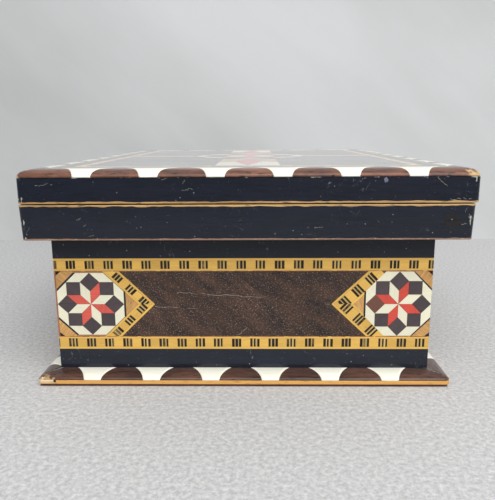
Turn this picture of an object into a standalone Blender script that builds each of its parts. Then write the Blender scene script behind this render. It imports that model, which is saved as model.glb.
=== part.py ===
"""Marquetry puzzle box: hinged lid, two secret sliding mouldings, a box lock and its hidden key.

X runs across the short end, Y along the box (the secret end faces -Y), Z is up.
The origin is the middle of the footprint, on the surface that the box stands on.
The lid turns on butt hinges along the -X side; the lock is in the +X side.
"""
import math

import bmesh
import bpy
from mathutils import Matrix, Vector

MM = 0.001

# ---- driving dimensions -------------------------------------------------------------------
LID_WIDTH = 120.5 * MM
LID_LENGTH = 158.0 * MM
LID_SIDE_HEIGHT = 6.9 * MM
LID_CROWN_HEIGHT = 2.1 * MM
LID_CROWN_ROLL = 4.0 * MM
LID_CROWN_EDGE = 0.2 * MM
LID_GAP = 0.3 * MM
COLLAR_HEIGHT = 9.5 * MM
COLLAR_TAPER = 0.4 * MM
BODY_HEIGHT = 39.1 * MM
BASE_EDGE_HEIGHT = 1.35 * MM
BASE_SLOPE_HEIGHT = 1.6 * MM
BASE_STEP = 5.2 * MM
FELT_THICKNESS = 0.4 * MM
FELT_SETBACK = 0.5 * MM

OVERHANG_HINGE_SIDE = 5.5 * MM
OVERHANG_LOCK_SIDE = 8.5 * MM
OVERHANG_FRONT = 7.5 * MM
OVERHANG_BACK = 5.5 * MM
LID_PAST_SIDE_MOULDING = 0.7 * MM

WALL = 6.4 * MM
VENEER = 0.8 * MM
FIT = 0.3 * MM
CORNER_RADIUS = 1.4 * MM
LINING_THICKNESS = 1.2 * MM

END_TRAVEL = 26.0 * MM
SIDE_TRAVEL = 40.0 * MM
RUNNER_DEPTH = 3.0 * MM
RUNNER_NECK = 2.6 * MM
RUNNER_HEAD = 4.4 * MM
RUNNER_STOP = 2.6 * MM

HINGE_LEAF_LENGTH = 22.0 * MM
HINGE_LEAF_WIDTH = 12.0 * MM
HINGE_LEAF_THICKNESS = 0.8 * MM
HINGE_KNUCKLE_RADIUS = 1.25 * MM
HINGE_PIN_RADIUS = 0.6 * MM
HINGE_PIN_PLAY = 0.05 * MM
HINGE_AXIS_OUT = 0.3 * MM
HINGE_FROM_END = 36.0 * MM
HINGE_SCREW_SPACING = 13.0 * MM
HINGE_SCREW_INWARD = 2.6 * MM

SCREW_HEAD_RADIUS = 1.35 * MM
SCREW_HEAD_HEIGHT = 0.75 * MM
SCREW_SHANK_RADIUS = 0.65 * MM
SCREW_LENGTH = 4.6 * MM
SCREW_FIT = 0.15 * MM
SCREW_SLOT_DEPTH = 0.35 * MM
SCREW_SLOT_WIDTH = 0.4 * MM

LOCK_FROM_FRONT = 25.0 * MM
LOCK_WIDTH = 24.0 * MM
LOCK_HEIGHT = 15.0 * MM
LOCK_DEPTH = 4.6 * MM
LOCK_SHEET = 0.8 * MM
LOCK_CASE_SHEET = 0.5 * MM
LOCK_CASE_END = 1.0 * MM
LOCK_CASE_FOOT = 0.6 * MM
LOCK_CASE_SPARE = 3.0 * MM
LOCK_SCREW_SPACING = 18.8 * MM
LOCK_SCREW_INWARD = 2.7 * MM
BOLT_WIDTH = 8.0 * MM
BOLT_THICKNESS = 1.3 * MM
BOLT_HEIGHT = 9.0 * MM
BOLT_THROW = 3.0 * MM
BOLT_FROM_PLATE = 1.1 * MM
BOLT_BELOW_RIM = 0.1 * MM
BOLT_TALON = 2.6 * MM
SPRING_WIRE = 0.3 * MM
SPRING_BOW = 1.2 * MM
SPRING_FROM_BOLT = 1.0 * MM
SPRING_FOOT = 2.4 * MM
SPRING_TOP_GAP = 1.2 * MM
POST_RADIUS = 0.6 * MM
KEYHOLE_RADIUS = 1.8 * MM
KEYHOLE_SLOT = 1.3 * MM
KEYHOLE_BELOW_RIM = 6.2 * MM

KEY_LENGTH = 23.0 * MM
KEY_BOW_RADIUS = 2.7 * MM
KEY_BOW_WIRE = 0.7 * MM
KEY_SHANK_RADIUS = 1.2 * MM
KEY_BARREL_BORE = 0.75 * MM
KEY_BORE_DEPTH = 6.0 * MM
KEY_BIT_REACH = 3.4 * MM
KEY_BIT_WIDTH = 3.0 * MM
KEY_BIT_THICKNESS = 1.0 * MM
KEY_BIT_FROM_TIP = 0.8 * MM
KEY_WARD_WIDTH = 0.6 * MM
KEY_WARD_DEPTH = 1.1 * MM
KEY_COLLAR_HEIGHT = 0.35 * MM
KEY_COLLAR_LENGTH = 0.9 * MM
KEY_COLLAR_FROM_BOW = 1.4 * MM
KEY_COLLAR_SPACING = 2.2 * MM
NICHE_LENGTH = 25.0 * MM
NICHE_HEIGHT = 7.8 * MM
NICHE_DEPTH = 3.8 * MM

# ---- levels and faces worked out from them --------------------------------------------------
base_bottom = FELT_THICKNESS + FIT
base_edge_top = base_bottom + BASE_EDGE_HEIGHT
base_top = base_edge_top + BASE_SLOPE_HEIGHT
collar_bottom = base_top + BODY_HEIGHT
rim = collar_bottom + COLLAR_HEIGHT
lid_bottom = rim + LID_GAP
lid_side_top = lid_bottom + LID_SIDE_HEIGHT
lid_top = lid_side_top + LID_CROWN_HEIGHT
collar_middle = (collar_bottom + rim) / 2

knuckle_past_lid = HINGE_AXIS_OUT + HINGE_KNUCKLE_RADIUS
lid_x0 = -(LID_WIDTH + knuckle_past_lid) / 2 + knuckle_past_lid
lid_x1 = lid_x0 + LID_WIDTH
lid_y0 = -LID_LENGTH / 2
lid_y1 = LID_LENGTH / 2

body_x0 = lid_x0 + OVERHANG_HINGE_SIDE
body_x1 = lid_x1 - OVERHANG_LOCK_SIDE
body_y0 = lid_y0 + OVERHANG_FRONT
body_y1 = lid_y1 - OVERHANG_BACK
skin = VENEER + FIT
core_x0 = body_x0 + skin
core_x1 = body_x1 - skin
core_y0 = body_y0 + skin
core_y1 = body_y1 - skin
room_x0 = core_x0 + WALL
room_x1 = core_x1 - WALL
room_y0 = core_y0 + WALL
room_y1 = core_y1 - WALL
side_moulding_x1 = lid_x1 - LID_PAST_SIDE_MOULDING

hinge_x = lid_x0 - HINGE_AXIS_OUT
hinge_z = (rim + lid_bottom) / 2

niche_x0 = core_x0 + RUNNER_STOP
niche_x1 = niche_x0 + NICHE_LENGTH
end_runner_x0 = niche_x1 + RUNNER_STOP
end_runner_x1 = core_x1 - RUNNER_STOP
side_moulding_y0 = core_y0
side_runner_y0 = side_moulding_y0 + SIDE_TRAVEL + RUNNER_STOP
side_runner_y1 = core_y1 - RUNNER_STOP

lock_y = core_y0 + LOCK_FROM_FRONT
lock_bottom = rim - LOCK_HEIGHT
keyhole_z = rim - KEYHOLE_BELOW_RIM
bolt_x = room_x1 + LOCK_SHEET + FIT + BOLT_FROM_PLATE


# ---- scene, materials and shared helpers ----------------------------------------------------
for old in list(bpy.data.objects):
    bpy.data.objects.remove(old)

parts = bpy.data.collections.new("puzzle_box")
cutters = bpy.data.collections.new("puzzle_box_cutters")
bpy.context.scene.collection.children.link(parts)
bpy.context.scene.collection.children.link(cutters)


def material(name, color, roughness, metallic=0.0):
    made = bpy.data.materials.new(name)
    made.use_nodes = True
    shader = made.node_tree.nodes["Principled BSDF"]
    shader.inputs["Base Color"].default_value = (*color, 1.0)
    shader.inputs["Roughness"].default_value = roughness
    shader.inputs["Metallic"].default_value = metallic
    made.diffuse_color = (*color, 1.0)
    return made


ebonised = material("ebonised_veneer", (0.012, 0.015, 0.022), 0.25)
marquetry = material("marquetry_veneer", (0.16, 0.07, 0.04), 0.35)
rosewood = material("rosewood", (0.22, 0.08, 0.05), 0.35)
cedar = material("cedar", (0.45, 0.24, 0.12), 0.6)
boxwood = material("boxwood", (0.72, 0.50, 0.20), 0.5)
brass = material("brass", (0.80, 0.58, 0.24), 0.3, 1.0)
steel = material("steel", (0.55, 0.55, 0.56), 0.3, 1.0)
felt = material("felt", (0.16, 0.02, 0.03), 0.95)


def place(name, bm, finish, at, parent=None, collection=parts):
    """Make a named object from a bmesh whose own origin is put at a point."""
    mesh = bpy.data.meshes.new(name)
    bm.to_mesh(mesh)
    bm.free()
    made = bpy.data.objects.new(name, mesh)
    collection.objects.link(made)
    made.location = at
    if finish is not None:
        mesh.materials.append(finish)
    if parent is not None:
        made.parent = parent
        made.matrix_parent_inverse = Matrix.Translation(-parent.location)
    if collection is cutters:
        made.hide_render = True
        made.display_type = "WIRE"
    return made


def cube_mesh(size):
    bm = bmesh.new()
    bmesh.ops.create_cube(bm, size=1.0)
    bmesh.ops.scale(bm, vec=size, verts=bm.verts)
    return bm


def box(name, low, high, finish=None, parent=None, collection=parts):
    low = Vector(low)
    high = Vector(high)
    return place(name, cube_mesh(high - low), finish, (low + high) / 2, parent, collection)


def rod_mesh(radius, length, axis, segments=16):
    """A round bar centred on its origin, along X, Y or Z."""
    bm = bmesh.new()
    bmesh.ops.create_cone(bm, cap_ends=True, segments=segments, radius1=radius,
                          radius2=radius, depth=length)
    turns = {"X": Matrix.Rotation(math.pi / 2, 3, "Y"),
             "Y": Matrix.Rotation(math.pi / 2, 3, "X"),
             "Z": Matrix.Identity(3)}
    bmesh.ops.rotate(bm, verts=bm.verts, matrix=turns[axis])
    return bm


def rod(name, radius, length, axis, at, finish=None, parent=None, collection=parts):
    made = place(name, rod_mesh(radius, length, axis), finish, at, parent, collection)
    made.data.shade_smooth()
    made.data.set_sharp_from_angle(angle=math.radians(40))
    return made


def combine(target, tool, operation):
    change = target.modifiers.new(operation.lower(), "BOOLEAN")
    change.operation = operation
    change.object = tool


def cut(target, cutter):
    combine(target, cutter, "DIFFERENCE")


def cut_box(target, low, high):
    cut(target, box(f"{target.name}_cutter", low, high, collection=cutters))


def join_tool(target, tool):
    combine(target, tool, "UNION")


def pivot(name, at):
    """An empty that a moving body's pieces hang on, on the axis of its joint."""
    made = bpy.data.objects.new(name, None)
    made.empty_display_size = 8 * MM
    made.location = at
    parts.objects.link(made)
    return made


lid_pivot = pivot("lid_pivot", (hinge_x, 0, hinge_z))
end_pivot = pivot("end_moulding_pivot", (0, core_y0, collar_middle))
side_pivot = pivot("side_moulding_pivot", (core_x1, 0, collar_middle))
bolt_pivot = pivot("bolt_pivot", (bolt_x, lock_y, rim))


# ---- base: felt, plate with its sloped border, floor lining --------------------------------
def bordered_slab(name, low, high, edge_height, steps, finish, parent=None):
    """A board whose top border rises in steps of (inward, upward) from its upright edge."""
    low = Vector(low)
    high = Vector(high)
    size = Vector((high.x - low.x, high.y - low.y, edge_height))
    bm = cube_mesh(size)
    top = max(bm.faces, key=lambda face: face.calc_center_median().z)
    for inward, upward in steps:
        bmesh.ops.inset_region(bm, faces=[top], thickness=inward, use_even_offset=True)
        bmesh.ops.translate(bm, vec=(0, 0, upward), verts=top.verts)
    corners = [edge for edge in bm.edges if is_corner(edge, size)]
    bmesh.ops.bevel(bm, geom=corners, offset=CORNER_RADIUS, segments=4, profile=0.5,
                    affect="EDGES")
    middle = (low + high) / 2
    return place(name, bm, finish, (middle.x, middle.y, low.z + edge_height / 2), parent)


def is_corner(edge, size):
    """True for the upright corner edges and the mitre lines that carry on from them."""
    first, second = (vertex.co for vertex in edge.verts)
    same_side_x = first.x * second.x > 0 and abs(first.x - second.x) < size.x / 2
    same_side_y = first.y * second.y > 0 and abs(first.y - second.y) < size.y / 2
    return same_side_x and same_side_y and abs(first.z - second.z) > 0.01 * MM


def roll_over(width, height, count):
    """Steps (inward, upward) of a quarter-ellipse roll, from upright to flat."""
    steps = []
    for i in range(count):
        a = math.pi / 2 * i / count
        b = math.pi / 2 * (i + 1) / count
        inward = width * (math.cos(a) - math.cos(b))
        upward = height * (math.sin(b) - math.sin(a))
        steps.append((inward, upward))
    return steps


base_x0 = body_x0 - BASE_STEP
base_x1 = body_x1 + BASE_STEP
base_y0 = body_y0 - BASE_STEP
base_y1 = body_y1 + BASE_STEP

bordered_slab("base_plate", (base_x0, base_y0, base_bottom), (base_x1, base_y1, base_top),
              BASE_EDGE_HEIGHT, roll_over(BASE_STEP, BASE_SLOPE_HEIGHT, 4), rosewood)
box("base_felt", (base_x0 + FELT_SETBACK, base_y0 + FELT_SETBACK, 0),
    (base_x1 - FELT_SETBACK, base_y1 - FELT_SETBACK, FELT_THICKNESS), felt)
box("floor_lining", (room_x0 + FIT, room_y0 + FIT, base_top + FIT),
    (room_x1 - FIT, room_y1 - FIT, base_top + FIT + LINING_THICKNESS), felt)


# ---- case walls and their marquetry faces ---------------------------------------------------
wall_bottom = base_top + FIT
wall_front = box("wall_front", (core_x0, core_y0, wall_bottom), (core_x1, room_y0, rim), cedar)
box("wall_back", (core_x0, room_y1, wall_bottom), (core_x1, core_y1, rim), cedar)
wall_hinge = box("wall_hinge_side", (core_x0, room_y0 + FIT, wall_bottom),
                 (room_x0, room_y1 - FIT, rim), cedar)
wall_lock = box("wall_lock_side", (room_x1, room_y0 + FIT, wall_bottom),
                (core_x1, room_y1 - FIT, rim), cedar)

face_top = collar_bottom - FIT
box("marquetry_front", (body_x0, body_y0, wall_bottom),
    (body_x1, body_y0 + VENEER, face_top), marquetry)
box("marquetry_back", (body_x0, body_y1 - VENEER, wall_bottom),
    (body_x1, body_y1, face_top), marquetry)
box("marquetry_hinge_side", (body_x0, core_y0, wall_bottom),
    (body_x0 + VENEER, core_y1, face_top), marquetry)
box("marquetry_lock_side", (body_x1 - VENEER, core_y0, wall_bottom),
    (body_x1, core_y1, face_top), marquetry)


# ---- collar: four mouldings, two of them secret slides --------------------------------------
def moulding(name, low, high, outward, finish, mitres=(), parent=None):
    """A bar under the lid. Its outer face leans in towards the bottom, and a mitred end is
    cut back at 45 degrees from the outer face. A mitre is named by the way its end points."""
    low = Vector(low)
    high = Vector(high)
    size = high - low
    across = 0 if outward[0] else 1
    along = 1 - across
    sign = outward[across]
    bm = cube_mesh(size)
    for vertex in bm.verts:
        outer = vertex.co[across] * sign > 0
        end = 1 if vertex.co[along] > 0 else -1
        lean = COLLAR_TAPER if outer and vertex.co.z < 0 else 0.0
        if end in mitres:
            depth = lean if outer else size[across]
            vertex.co[along] -= end * depth
        vertex.co[across] -= sign * lean
    return place(name, bm, finish, (low + high) / 2, parent)


def faced_moulding(name, low, high, outward, mitres=(), parent=None):
    """A moulding's core and the ebonised facing glued to its outer face."""
    low = Vector(low)
    high = Vector(high)
    across = 0 if outward[0] else 1
    along = 1 - across
    core_low, core_high = low.copy(), high.copy()
    skin_low, skin_high = low.copy(), high.copy()
    if outward[across] > 0:
        core_high[across] -= skin
        skin_low[across] = high[across] - VENEER
    else:
        core_low[across] += skin
        skin_high[across] = low[across] + VENEER
    if -1 in mitres:
        core_low[along] += skin
    if 1 in mitres:
        core_high[along] -= skin
    core = moulding(name, core_low, core_high, outward, cedar, mitres, parent)
    facing = moulding(f"{name}_facing", skin_low, skin_high, outward, ebonised, mitres, parent)
    return core, facing


end_back = core_y0 - FIT
side_inner = core_x1 + FIT
hinge_inner = core_x0 - FIT
back_inner = core_y1 + FIT
mitre_gap = FIT * math.sqrt(2) / 2

end_moulding = faced_moulding(
    "end_moulding", (lid_x0 + mitre_gap, lid_y0, collar_bottom),
    (side_moulding_x1 - skin, end_back, rim), (0, -1), (-1,), end_pivot)[0]
side_moulding = faced_moulding(
    "side_moulding", (side_inner, side_moulding_y0, collar_bottom),
    (side_moulding_x1, lid_y1 - skin, rim), (1, 0), (), side_pivot)[0]
collar_hinge, collar_hinge_facing = faced_moulding(
    "collar_hinge_side", (lid_x0, lid_y0 + mitre_gap, collar_bottom),
    (hinge_inner, lid_y1 - mitre_gap, rim), (-1, 0), (-1, 1))
faced_moulding(
    "collar_back", (lid_x0 + mitre_gap, back_inner, collar_bottom),
    (side_inner - FIT, lid_y1, rim), (0, 1), (-1,))

moulding("end_moulding_cap", (side_moulding_x1 - VENEER, lid_y0, collar_bottom),
         (side_moulding_x1, end_back, rim), (1, 0), ebonised, (), end_pivot)
moulding("side_moulding_cap", (side_inner, lid_y1 - VENEER, collar_bottom),
         (side_moulding_x1, lid_y1, rim), (0, 1), ebonised, (), side_pivot)


# ---- runners: dovetail strips on the case that the mouldings slide along --------------------
def dovetail(name, along, start, stop, face, sign, grow, finish=None, collection=parts):
    """A dovetail bar on a wall face: narrow at the wall, wide at its outer side."""
    across = 1 - along
    size = Vector((0, 0, RUNNER_HEAD + 2 * grow))
    size[along] = stop - start
    size[across] = RUNNER_DEPTH + 2 * grow
    bm = cube_mesh(size)
    for vertex in bm.verts:
        if vertex.co[across] * sign < 0:
            vertex.co.z *= (RUNNER_NECK + 2 * grow) / (RUNNER_HEAD + 2 * grow)
    middle = Vector((0, 0, collar_middle))
    middle[along] = (start + stop) / 2
    middle[across] = face + sign * RUNNER_DEPTH / 2
    return place(name, bm, finish, middle, None, collection)


dovetail("end_runner", 0, end_runner_x0, end_runner_x1, end_back, -1, 0.0, boxwood)
dovetail("side_runner", 1, side_runner_y0, side_runner_y1, side_inner, 1, 0.0, boxwood)
cut(end_moulding, dovetail("end_groove", 0, end_runner_x0 - END_TRAVEL - FIT,
                           lid_x1, end_back, -1, FIT, None, cutters))
cut(side_moulding, dovetail("side_groove", 1, side_runner_y0 - SIDE_TRAVEL - FIT,
                            lid_y1 + WALL, side_inner, 1, FIT, None, cutters))


# ---- lid: board, ebonised edge facings, crowned marquetry top -------------------------------
board_top = lid_side_top - FIT
lid_board = box("lid_board", (lid_x0 + skin, lid_y0 + skin, lid_bottom),
                (lid_x1 - skin, lid_y1 - skin, board_top), cedar, lid_pivot)
box("lid_facing_front", (lid_x0, lid_y0, lid_bottom), (lid_x1, lid_y0 + VENEER, board_top),
    ebonised, lid_pivot)
box("lid_facing_back", (lid_x0, lid_y1 - VENEER, lid_bottom), (lid_x1, lid_y1, board_top),
    ebonised, lid_pivot)
lid_facing_hinge = box("lid_facing_hinge_side", (lid_x0, lid_y0 + skin, lid_bottom),
                       (lid_x0 + VENEER, lid_y1 - skin, board_top), ebonised, lid_pivot)
box("lid_facing_lock_side", (lid_x1 - VENEER, lid_y0 + skin, lid_bottom),
    (lid_x1, lid_y1 - skin, board_top), ebonised, lid_pivot)
bordered_slab("lid_marquetry", (lid_x0, lid_y0, lid_side_top), (lid_x1, lid_y1, lid_top),
              LID_CROWN_EDGE, roll_over(LID_CROWN_ROLL, LID_CROWN_HEIGHT - LID_CROWN_EDGE, 4),
              marquetry, lid_pivot)


# ---- countersunk wood screws ----------------------------------------------------------------
def screw_mesh(grow=0.0, length=SCREW_LENGTH):
    """Half outline of a countersunk screw, head at the origin and point down."""
    head = SCREW_HEAD_RADIUS + grow
    shank = SCREW_SHANK_RADIUS + grow
    tip = length + grow
    outline = ((0, grow), (head, grow), (shank, -SCREW_HEAD_HEIGHT - grow), (shank, -tip * 0.7),
               (0, -tip))
    bm = bmesh.new()
    points = [bm.verts.new((x, 0, z)) for x, z in outline]
    for first, second in zip(points, points[1:]):
        bm.edges.new((first, second))
    bmesh.ops.spin(bm, geom=bm.verts[:] + bm.edges[:], cent=(0, 0, 0), axis=(0, 0, 1),
                   angle=2 * math.pi, steps=12, use_merge=True)
    bmesh.ops.remove_doubles(bm, verts=bm.verts, dist=0.001 * MM)
    bmesh.ops.recalc_face_normals(bm, faces=bm.faces)
    return bm


def screw(name, at, pointing, into, parent=None):
    """A slotted screw, and its countersunk hole in each piece that it goes through."""
    turn = Vector((0, 0, -1)).rotation_difference(Vector(pointing)).to_euler()
    made = place(name, screw_mesh(), brass, at, parent)
    made.rotation_euler = turn
    made.data.shade_smooth()
    made.data.set_sharp_from_angle(angle=math.radians(30))
    slot_size = (3 * SCREW_HEAD_RADIUS, SCREW_SLOT_WIDTH, 2 * SCREW_SLOT_DEPTH)
    slot = place(f"{name}_slot", cube_mesh(slot_size), None, at, None, cutters)
    slot.rotation_euler = turn
    cut(made, slot)
    hole = place(f"{name}_hole", screw_mesh(SCREW_FIT), None, at, None, cutters)
    hole.rotation_euler = turn
    for piece in into:
        cut(piece, hole)


# ---- butt hinges ------------------------------------------------------------------------------
def hinge(tag, y):
    """A three-knuckle butt hinge let into the case rim and the lid's underside."""
    y0 = y - HINGE_LEAF_LENGTH / 2
    y1 = y + HINGE_LEAF_LENGTH / 2
    middle_half = HINGE_LEAF_LENGTH / 6
    outer_length = (HINGE_LEAF_LENGTH - 2 * middle_half) / 2 - FIT
    axis = Vector((hinge_x, y, hinge_z))
    clearance = HINGE_KNUCKLE_RADIUS + FIT
    recess = rod(f"{tag}_recess", clearance, HINGE_LEAF_LENGTH + 2 * FIT, "Y", axis,
                 collection=cutters)
    for piece in (collar_hinge, collar_hinge_facing, lid_board, lid_facing_hinge):
        cut(piece, recess)

    case_top = rim
    case_low = rim - HINGE_LEAF_THICKNESS
    lid_low = lid_bottom
    lid_high = lid_bottom + HINGE_LEAF_THICKNESS
    leaf_x1 = hinge_x + HINGE_LEAF_WIDTH
    for piece in (collar_hinge, collar_hinge_facing, wall_hinge):
        cut_box(piece, (hinge_x, y0 - FIT, case_low - FIT), (leaf_x1 + FIT, y1 + FIT, rim + FIT))
    for piece in (lid_board, lid_facing_hinge):
        cut_box(piece, (hinge_x, y0 - FIT, lid_bottom - FIT),
                (leaf_x1 + FIT, y1 + FIT, lid_high + FIT))

    case_leaf = box(f"{tag}_case_leaf", (hinge_x, y0, case_low), (leaf_x1, y1, case_top), brass)
    lid_leaf = box(f"{tag}_lid_leaf", (hinge_x, y0, lid_low), (leaf_x1, y1, lid_high), brass,
                   lid_pivot)
    outer_middle = middle_half + FIT + outer_length / 2
    for leaf, own in ((case_leaf, (-outer_middle, outer_middle)), (lid_leaf, (0.0,))):
        for other in {-outer_middle, 0.0, outer_middle} - set(own):
            length = outer_length if other else 2 * middle_half
            cut(leaf, rod(f"{leaf.name}_clearance", clearance, length + 2 * FIT, "Y",
                          axis + Vector((0, other, 0)), collection=cutters))
        for place_y in own:
            length = outer_length if place_y else 2 * middle_half
            join_tool(leaf, rod(f"{leaf.name}_knuckle", HINGE_KNUCKLE_RADIUS, length, "Y",
                                axis + Vector((0, place_y, 0)), collection=cutters))
        cut(leaf, rod(f"{leaf.name}_bore", HINGE_PIN_RADIUS + HINGE_PIN_PLAY,
                      HINGE_LEAF_LENGTH + 4 * FIT, "Y", axis, collection=cutters))
    rod(f"{tag}_pin", HINGE_PIN_RADIUS, HINGE_LEAF_LENGTH, "Y", axis, steel)

    screw_x = core_x0 + HINGE_SCREW_INWARD
    for number, side in enumerate((-1, 1), start=1):
        screw_y = y + side * HINGE_SCREW_SPACING / 2
        screw(f"{tag}_case_screw_{number}", (screw_x, screw_y, case_top), (0, 0, -1),
              (case_leaf, wall_hinge))
        screw(f"{tag}_lid_screw_{number}", (screw_x, screw_y, lid_low), (0, 0, 1),
              (lid_leaf, lid_board), lid_pivot)


hinge("hinge_front", lid_y0 + HINGE_FROM_END)
hinge("hinge_rear", lid_y1 - HINGE_FROM_END)


# ---- box lock in the lock-side wall -----------------------------------------------------------
lock_y0 = lock_y - LOCK_WIDTH / 2
lock_y1 = lock_y + LOCK_WIDTH / 2
pocket_x1 = room_x1 + LOCK_DEPTH + FIT
cut_box(wall_lock, (room_x1 - FIT, lock_y0 - FIT, lock_bottom - FIT),
        (pocket_x1, lock_y1 + FIT, rim + FIT))
cut(wall_lock, rod("keyhole", KEYHOLE_RADIUS, 4 * WALL, "X", (core_x1, lock_y, keyhole_z),
                   collection=cutters))
cut_box(wall_lock, (pocket_x1 - FIT, lock_y - KEYHOLE_SLOT / 2, keyhole_z - KEY_BIT_REACH - FIT),
        (core_x1 + FIT, lock_y + KEYHOLE_SLOT / 2, keyhole_z))

lock_plate = box("lock_plate", (room_x1, lock_y0, lock_bottom),
                 (room_x1 + LOCK_SHEET, lock_y1, rim), brass)
join_tool(lock_plate, box("lock_selvage", (room_x1, lock_y0, rim - LOCK_SHEET),
                          (room_x1 + LOCK_DEPTH, lock_y1, rim), collection=cutters))
bolt_x0 = bolt_x - BOLT_THICKNESS / 2
bolt_x1 = bolt_x + BOLT_THICKNESS / 2
bolt_y0 = lock_y - BOLT_WIDTH / 2
bolt_y1 = lock_y + BOLT_WIDTH / 2
bolt_slot_low = (bolt_x0 - FIT, bolt_y0 - FIT, rim - 2 * LOCK_SHEET)
bolt_slot_high = (bolt_x1 + FIT, bolt_y1 + FIT, rim + FIT)
cut_box(lock_plate, bolt_slot_low, bolt_slot_high)

case_x0 = room_x1 + LOCK_SHEET + FIT
case_x1 = room_x1 + LOCK_DEPTH
case_top = rim - LOCK_SHEET - FIT
lock_case_bottom = lock_bottom + LOCK_CASE_FOOT
lock_case = box("lock_case", (case_x0, lock_y0 + LOCK_CASE_END, lock_case_bottom),
                (case_x1, lock_y1 - LOCK_CASE_END, case_top), steel)
cut_box(lock_case, (case_x0 - FIT, bolt_y0 - LOCK_CASE_SPARE, lock_case_bottom + LOCK_CASE_SHEET),
        (case_x1 - LOCK_CASE_SHEET, bolt_y1 + LOCK_CASE_SPARE, case_top + FIT))
cut(lock_case, rod("case_keyhole", KEYHOLE_RADIUS, 2 * MM, "X", (case_x1, lock_y, keyhole_z),
                   collection=cutters))

rod("key_post", POST_RADIUS, case_x1 - case_x0, "X",
    ((case_x0 + case_x1) / 2, lock_y, keyhole_z), steel)
bolt_top = rim - BOLT_BELOW_RIM
lock_bolt = box("lock_bolt", (bolt_x0, bolt_y0, bolt_top - BOLT_HEIGHT),
                (bolt_x1, bolt_y1, bolt_top), brass, bolt_pivot)
cut_box(lock_bolt, (bolt_x0 - FIT, lock_y - BOLT_TALON / 2, bolt_top - BOLT_HEIGHT - FIT),
        (bolt_x1 + FIT, lock_y + BOLT_TALON / 2, keyhole_z + POST_RADIUS + FIT))


def spring_strip():
    """A bent leaf spring beside the bolt, as a thin round-edged wire."""
    path = bpy.data.curves.new("bolt_spring", "CURVE")
    path.dimensions = "3D"
    path.bevel_depth = SPRING_WIRE
    path.bevel_resolution = 2
    path.use_fill_caps = True
    line = path.splines.new("POLY")
    low_z = lock_bottom + SPRING_FOOT
    high_z = case_top - SPRING_TOP_GAP
    count = 9
    line.points.add(count - 1)
    for i, point in enumerate(line.points):
        t = i / (count - 1)
        bow = math.sin(math.pi * t) * SPRING_BOW
        spring_y = bolt_y1 + SPRING_FROM_BOLT + bow
        point.co = (bolt_x, spring_y, low_z + t * (high_z - low_z), 1.0)
    made = bpy.data.objects.new("bolt_spring", path)
    parts.objects.link(made)
    path.materials.append(steel)


spring_strip()
for number, side in enumerate((-1, 1), start=1):
    screw_y = lock_y + side * LOCK_SCREW_SPACING / 2
    screw(f"lock_screw_{number}", (room_x1 + LOCK_SCREW_INWARD, screw_y, rim), (0, 0, -1),
          (lock_plate, lock_case, wall_lock))

strike_x0 = room_x1
strike_x1 = room_x1 + LOCK_DEPTH
strike_top = lid_bottom + LOCK_SHEET
cut_box(lid_board, (strike_x0 - FIT, lock_y0 - FIT, lid_bottom - FIT),
        (strike_x1 + FIT, lock_y1 + FIT, strike_top + FIT))
cut_box(lid_board, (bolt_x0 - 2 * FIT, bolt_y0 - 2 * FIT, lid_bottom),
        (bolt_x1 + 2 * FIT, bolt_y1 + 2 * FIT, bolt_top + BOLT_THROW + 2 * FIT))
strike_plate = box("strike_plate", (strike_x0, lock_y0, lid_bottom),
                   (strike_x1, lock_y1, strike_top), brass, lid_pivot)
cut_box(strike_plate, (bolt_x0 - FIT, bolt_y0 - FIT, lid_bottom - FIT),
        (bolt_x1 + FIT, bolt_y1 + FIT, strike_top + FIT))
for number, side in enumerate((-1, 1), start=1):
    screw_y = lock_y + side * LOCK_SCREW_SPACING / 2
    screw(f"strike_screw_{number}", (room_x1 + LOCK_DEPTH / 2, screw_y, lid_bottom), (0, 0, 1),
          (strike_plate, lid_board), lid_pivot)


# ---- key and the niche that hides it -----------------------------------------------------------
cut_box(wall_front, (niche_x0, core_y0 - FIT, collar_middle - NICHE_HEIGHT / 2),
        (niche_x1, core_y0 + NICHE_DEPTH, collar_middle + NICHE_HEIGHT / 2))

key_y = core_y0 + NICHE_DEPTH / 2
key_x0 = niche_x0 + (NICHE_LENGTH - KEY_LENGTH) / 2
bow_outer = KEY_BOW_RADIUS + KEY_BOW_WIRE
shank_x0 = key_x0 + 2 * KEY_BOW_RADIUS + KEY_BOW_WIRE
shank_x1 = key_x0 + KEY_LENGTH


def ring_mesh(radius, wire, around=24, across=8):
    """A ring in the XZ plane, from a circle swept about Y."""
    bm = bmesh.new()
    bmesh.ops.create_circle(bm, segments=across, radius=wire)
    bmesh.ops.translate(bm, vec=(radius, 0, 0), verts=bm.verts)
    bmesh.ops.spin(bm, geom=bm.verts[:] + bm.edges[:], cent=(0, 0, 0), axis=(0, 1, 0),
                   angle=2 * math.pi, steps=around, use_merge=True)
    bmesh.ops.remove_doubles(bm, verts=bm.verts, dist=0.001 * MM)
    bmesh.ops.recalc_face_normals(bm, faces=bm.faces)
    return bm


key = rod("key", KEY_SHANK_RADIUS, shank_x1 - shank_x0, "X",
          ((shank_x0 + shank_x1) / 2, key_y, collar_middle), brass)
bow = place("key_bow", ring_mesh(KEY_BOW_RADIUS, KEY_BOW_WIRE), None,
            (key_x0 + bow_outer, key_y, collar_middle), None, cutters)
join_tool(key, bow)
for number in range(2):
    collar_x = shank_x0 + KEY_COLLAR_FROM_BOW + number * KEY_COLLAR_SPACING
    join_tool(key, rod(f"key_collar_{number}", KEY_SHANK_RADIUS + KEY_COLLAR_HEIGHT, KEY_COLLAR_LENGTH,
                       "X", (collar_x, key_y, collar_middle), collection=cutters))
bit_x1 = shank_x1 - KEY_BIT_FROM_TIP
join_tool(key, box("key_bit", (bit_x1 - KEY_BIT_WIDTH, key_y - KEY_BIT_THICKNESS / 2,
                               collar_middle - KEY_BIT_REACH),
                   (bit_x1, key_y + KEY_BIT_THICKNESS / 2, collar_middle), collection=cutters))
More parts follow.
